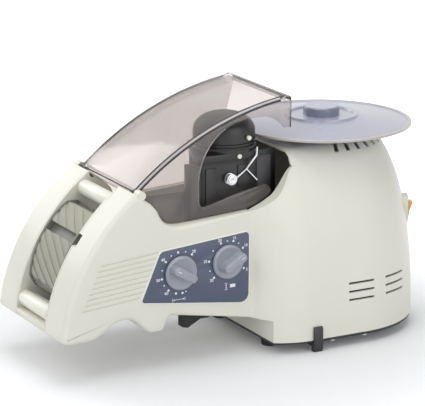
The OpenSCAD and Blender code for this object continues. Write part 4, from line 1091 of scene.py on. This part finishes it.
# Distance from the machine over which the floor brightens to sight, in metres, and its glow at both ends: the
# weak glow near the machine is painted shade round it
FLOOR_FADE = (0.16, 0.58)
FLOOR_GLOW = (0.07, 0.75)
WHITE = (1.0, 1.0, 1.0, 1.0)


def aimed(obj, at, aim):
    """Puts a lamp or camera at a place and points it at another."""
    bpy.context.scene.collection.objects.link(obj)
    obj.location = at
    obj.rotation_euler = (Vector(aim) - Vector(at)).to_track_quat("-Z", "Y").to_euler()
    return obj


def lamp(name, at, aim, size, watts):
    """A soft square lamp that points at a place."""
    light = bpy.data.lights.new(name, "AREA")
    light.shape, light.size, light.energy = "SQUARE", size, watts
    aimed(bpy.data.objects.new(name, light), at, aim)


def white_to_sight(nodes, links, lighting, sight):
    """A strength that has one value for the camera and reflections, and another for the light it gives."""
    path = nodes.new("ShaderNodeLightPath")
    seen = path.outputs["Is Camera Ray"]
    for name in ("Is Glossy Ray", "Is Transmission Ray"):
        more = nodes.new("ShaderNodeMath")
        more.operation = "MAXIMUM"
        links.new(seen, more.inputs[0])
        links.new(path.outputs[name], more.inputs[1])
        seen = more.outputs["Value"]
    level = nodes.new("ShaderNodeMapRange")
    links.new(seen, level.inputs["Value"])
    level.inputs["To Min"].default_value = lighting
    level.inputs["To Max"].default_value = sight
    return level.outputs["Result"]


class TAPE_OT_stage(bpy.types.Operator):
    """Sets up the floor, the lamps, the sky and the camera"""

    bl_idname = "tape.stage"
    bl_label = "Studio"

    def execute(self, context):
        scene = context.scene
        studio = settings().studio
        scene.view_settings.view_transform = "Standard"
        self.floor()
        world = scene.world or bpy.data.worlds.new("studio")
        scene.world = world
        world.use_nodes = True
        nodes, links = world.node_tree.nodes, world.node_tree.links
        back = nodes["Background"]
        back.inputs["Color"].default_value = WHITE
        links.new(white_to_sight(nodes, links, studio.sky, 1.0), back.inputs["Strength"])
        for name, at, aim, size in LAMPS:
            lamp(name + "_lamp", at, aim, size, getattr(studio, name))
        camera = bpy.data.cameras.new("camera")
        camera.lens = studio.lens
        camera.sensor_fit, camera.sensor_width = "HORIZONTAL", 36.0
        camera.clip_end = 50.0
        scene.camera = aimed(bpy.data.objects.new("camera", camera), CAMERA_AT, CAMERA_AIM)
        return {"FINISHED"}

    def floor(self):
        """A white floor that keeps the machine's shadow, with painted shade: its glow to sight is weaker near
        the machine.
        """
        low, high = -FLOOR_HALF, FLOOR_HALF
        mesh = bpy.data.meshes.new("floor")
        mesh.from_pydata([(low, low, 0), (high, low, 0), (high, high, 0), (low, high, 0)], [], [(0, 1, 2, 3)])
        floor = linked("floor", mesh)
        tree = Tree("floor_white")
        # Painted shade round the machine: the glow to sight is weak near it and grows with distance
        reach = tree.add("ShaderNodeVectorMath", {0: tree.where}, operation="LENGTH").outputs["Value"]
        fade = {"Value": reach, "From Min": FLOOR_FADE[0], "From Max": FLOOR_FADE[1], "To Min": FLOOR_GLOW[0],
                "To Max": FLOOR_GLOW[1]}
        painted_shade_fade = tree.add("ShaderNodeMapRange", fade, interpolation_type="SMOOTHSTEP").outputs["Result"]
        seen = white_to_sight(tree.nodes, tree.links, 0.0, 1.0)
        glow = tree.add("ShaderNodeMath", {0: seen, 1: painted_shade_fade}, operation="MULTIPLY").outputs["Value"]
        tree.feed(Base_Color=FLOOR_COLOUR, Roughness=0.6, Emission_Color=WHITE, Emission_Strength=glow)
        mesh.materials.append(tree.material)


OPERATORS = (TAPE_OT_stage, TAPE_OT_nose_housing, TAPE_OT_rear_housing, TAPE_OT_carousel, TAPE_OT_dial_panel,
             TAPE_OT_dials, TAPE_OT_hood, TAPE_OT_feed_head, TAPE_OT_reel, TAPE_OT_electrics)


class TAPE_PT_sidebar(bpy.types.Panel):
    """Lists the dispenser's pieces"""

    bl_idname = "TAPE_PT_sidebar"
    bl_label = "Tape Dispenser"
    bl_space_type = "VIEW_3D"
    bl_region_type = "UI"
    bl_category = "Tape Dispenser"

    def draw(self, context):
        for operator in OPERATORS:
            self.layout.operator(operator.bl_idname)


CLASSES = (FinishColours, ShellSizes, HoodSizes, DialSizes, StudioSettings, DispenserSettings, *OPERATORS,
           TAPE_PT_sidebar)


def register():
    for cls in CLASSES:
        bpy.utils.register_class(cls)
    bpy.types.Scene.tape_dispenser = PointerProperty(name="Tape Dispenser", type=DispenserSettings,
                                                     description="Settings of the dispenser")


def unregister():
    del bpy.types.Scene.tape_dispenser
    for cls in reversed(CLASSES):
        bpy.utils.unregister_class(cls)


def main():
    register()
    bpy.ops.tape.stage()
    bpy.ops.tape.nose_housing()
    bpy.ops.tape.rear_housing()
    bpy.ops.tape.carousel()
    bpy.ops.tape.dial_panel()
    bpy.ops.tape.dials()
    bpy.ops.tape.hood()
    bpy.ops.tape.feed_head()
    bpy.ops.tape.reel()
    bpy.ops.tape.electrics()


if __name__ == "__main__":
    main()
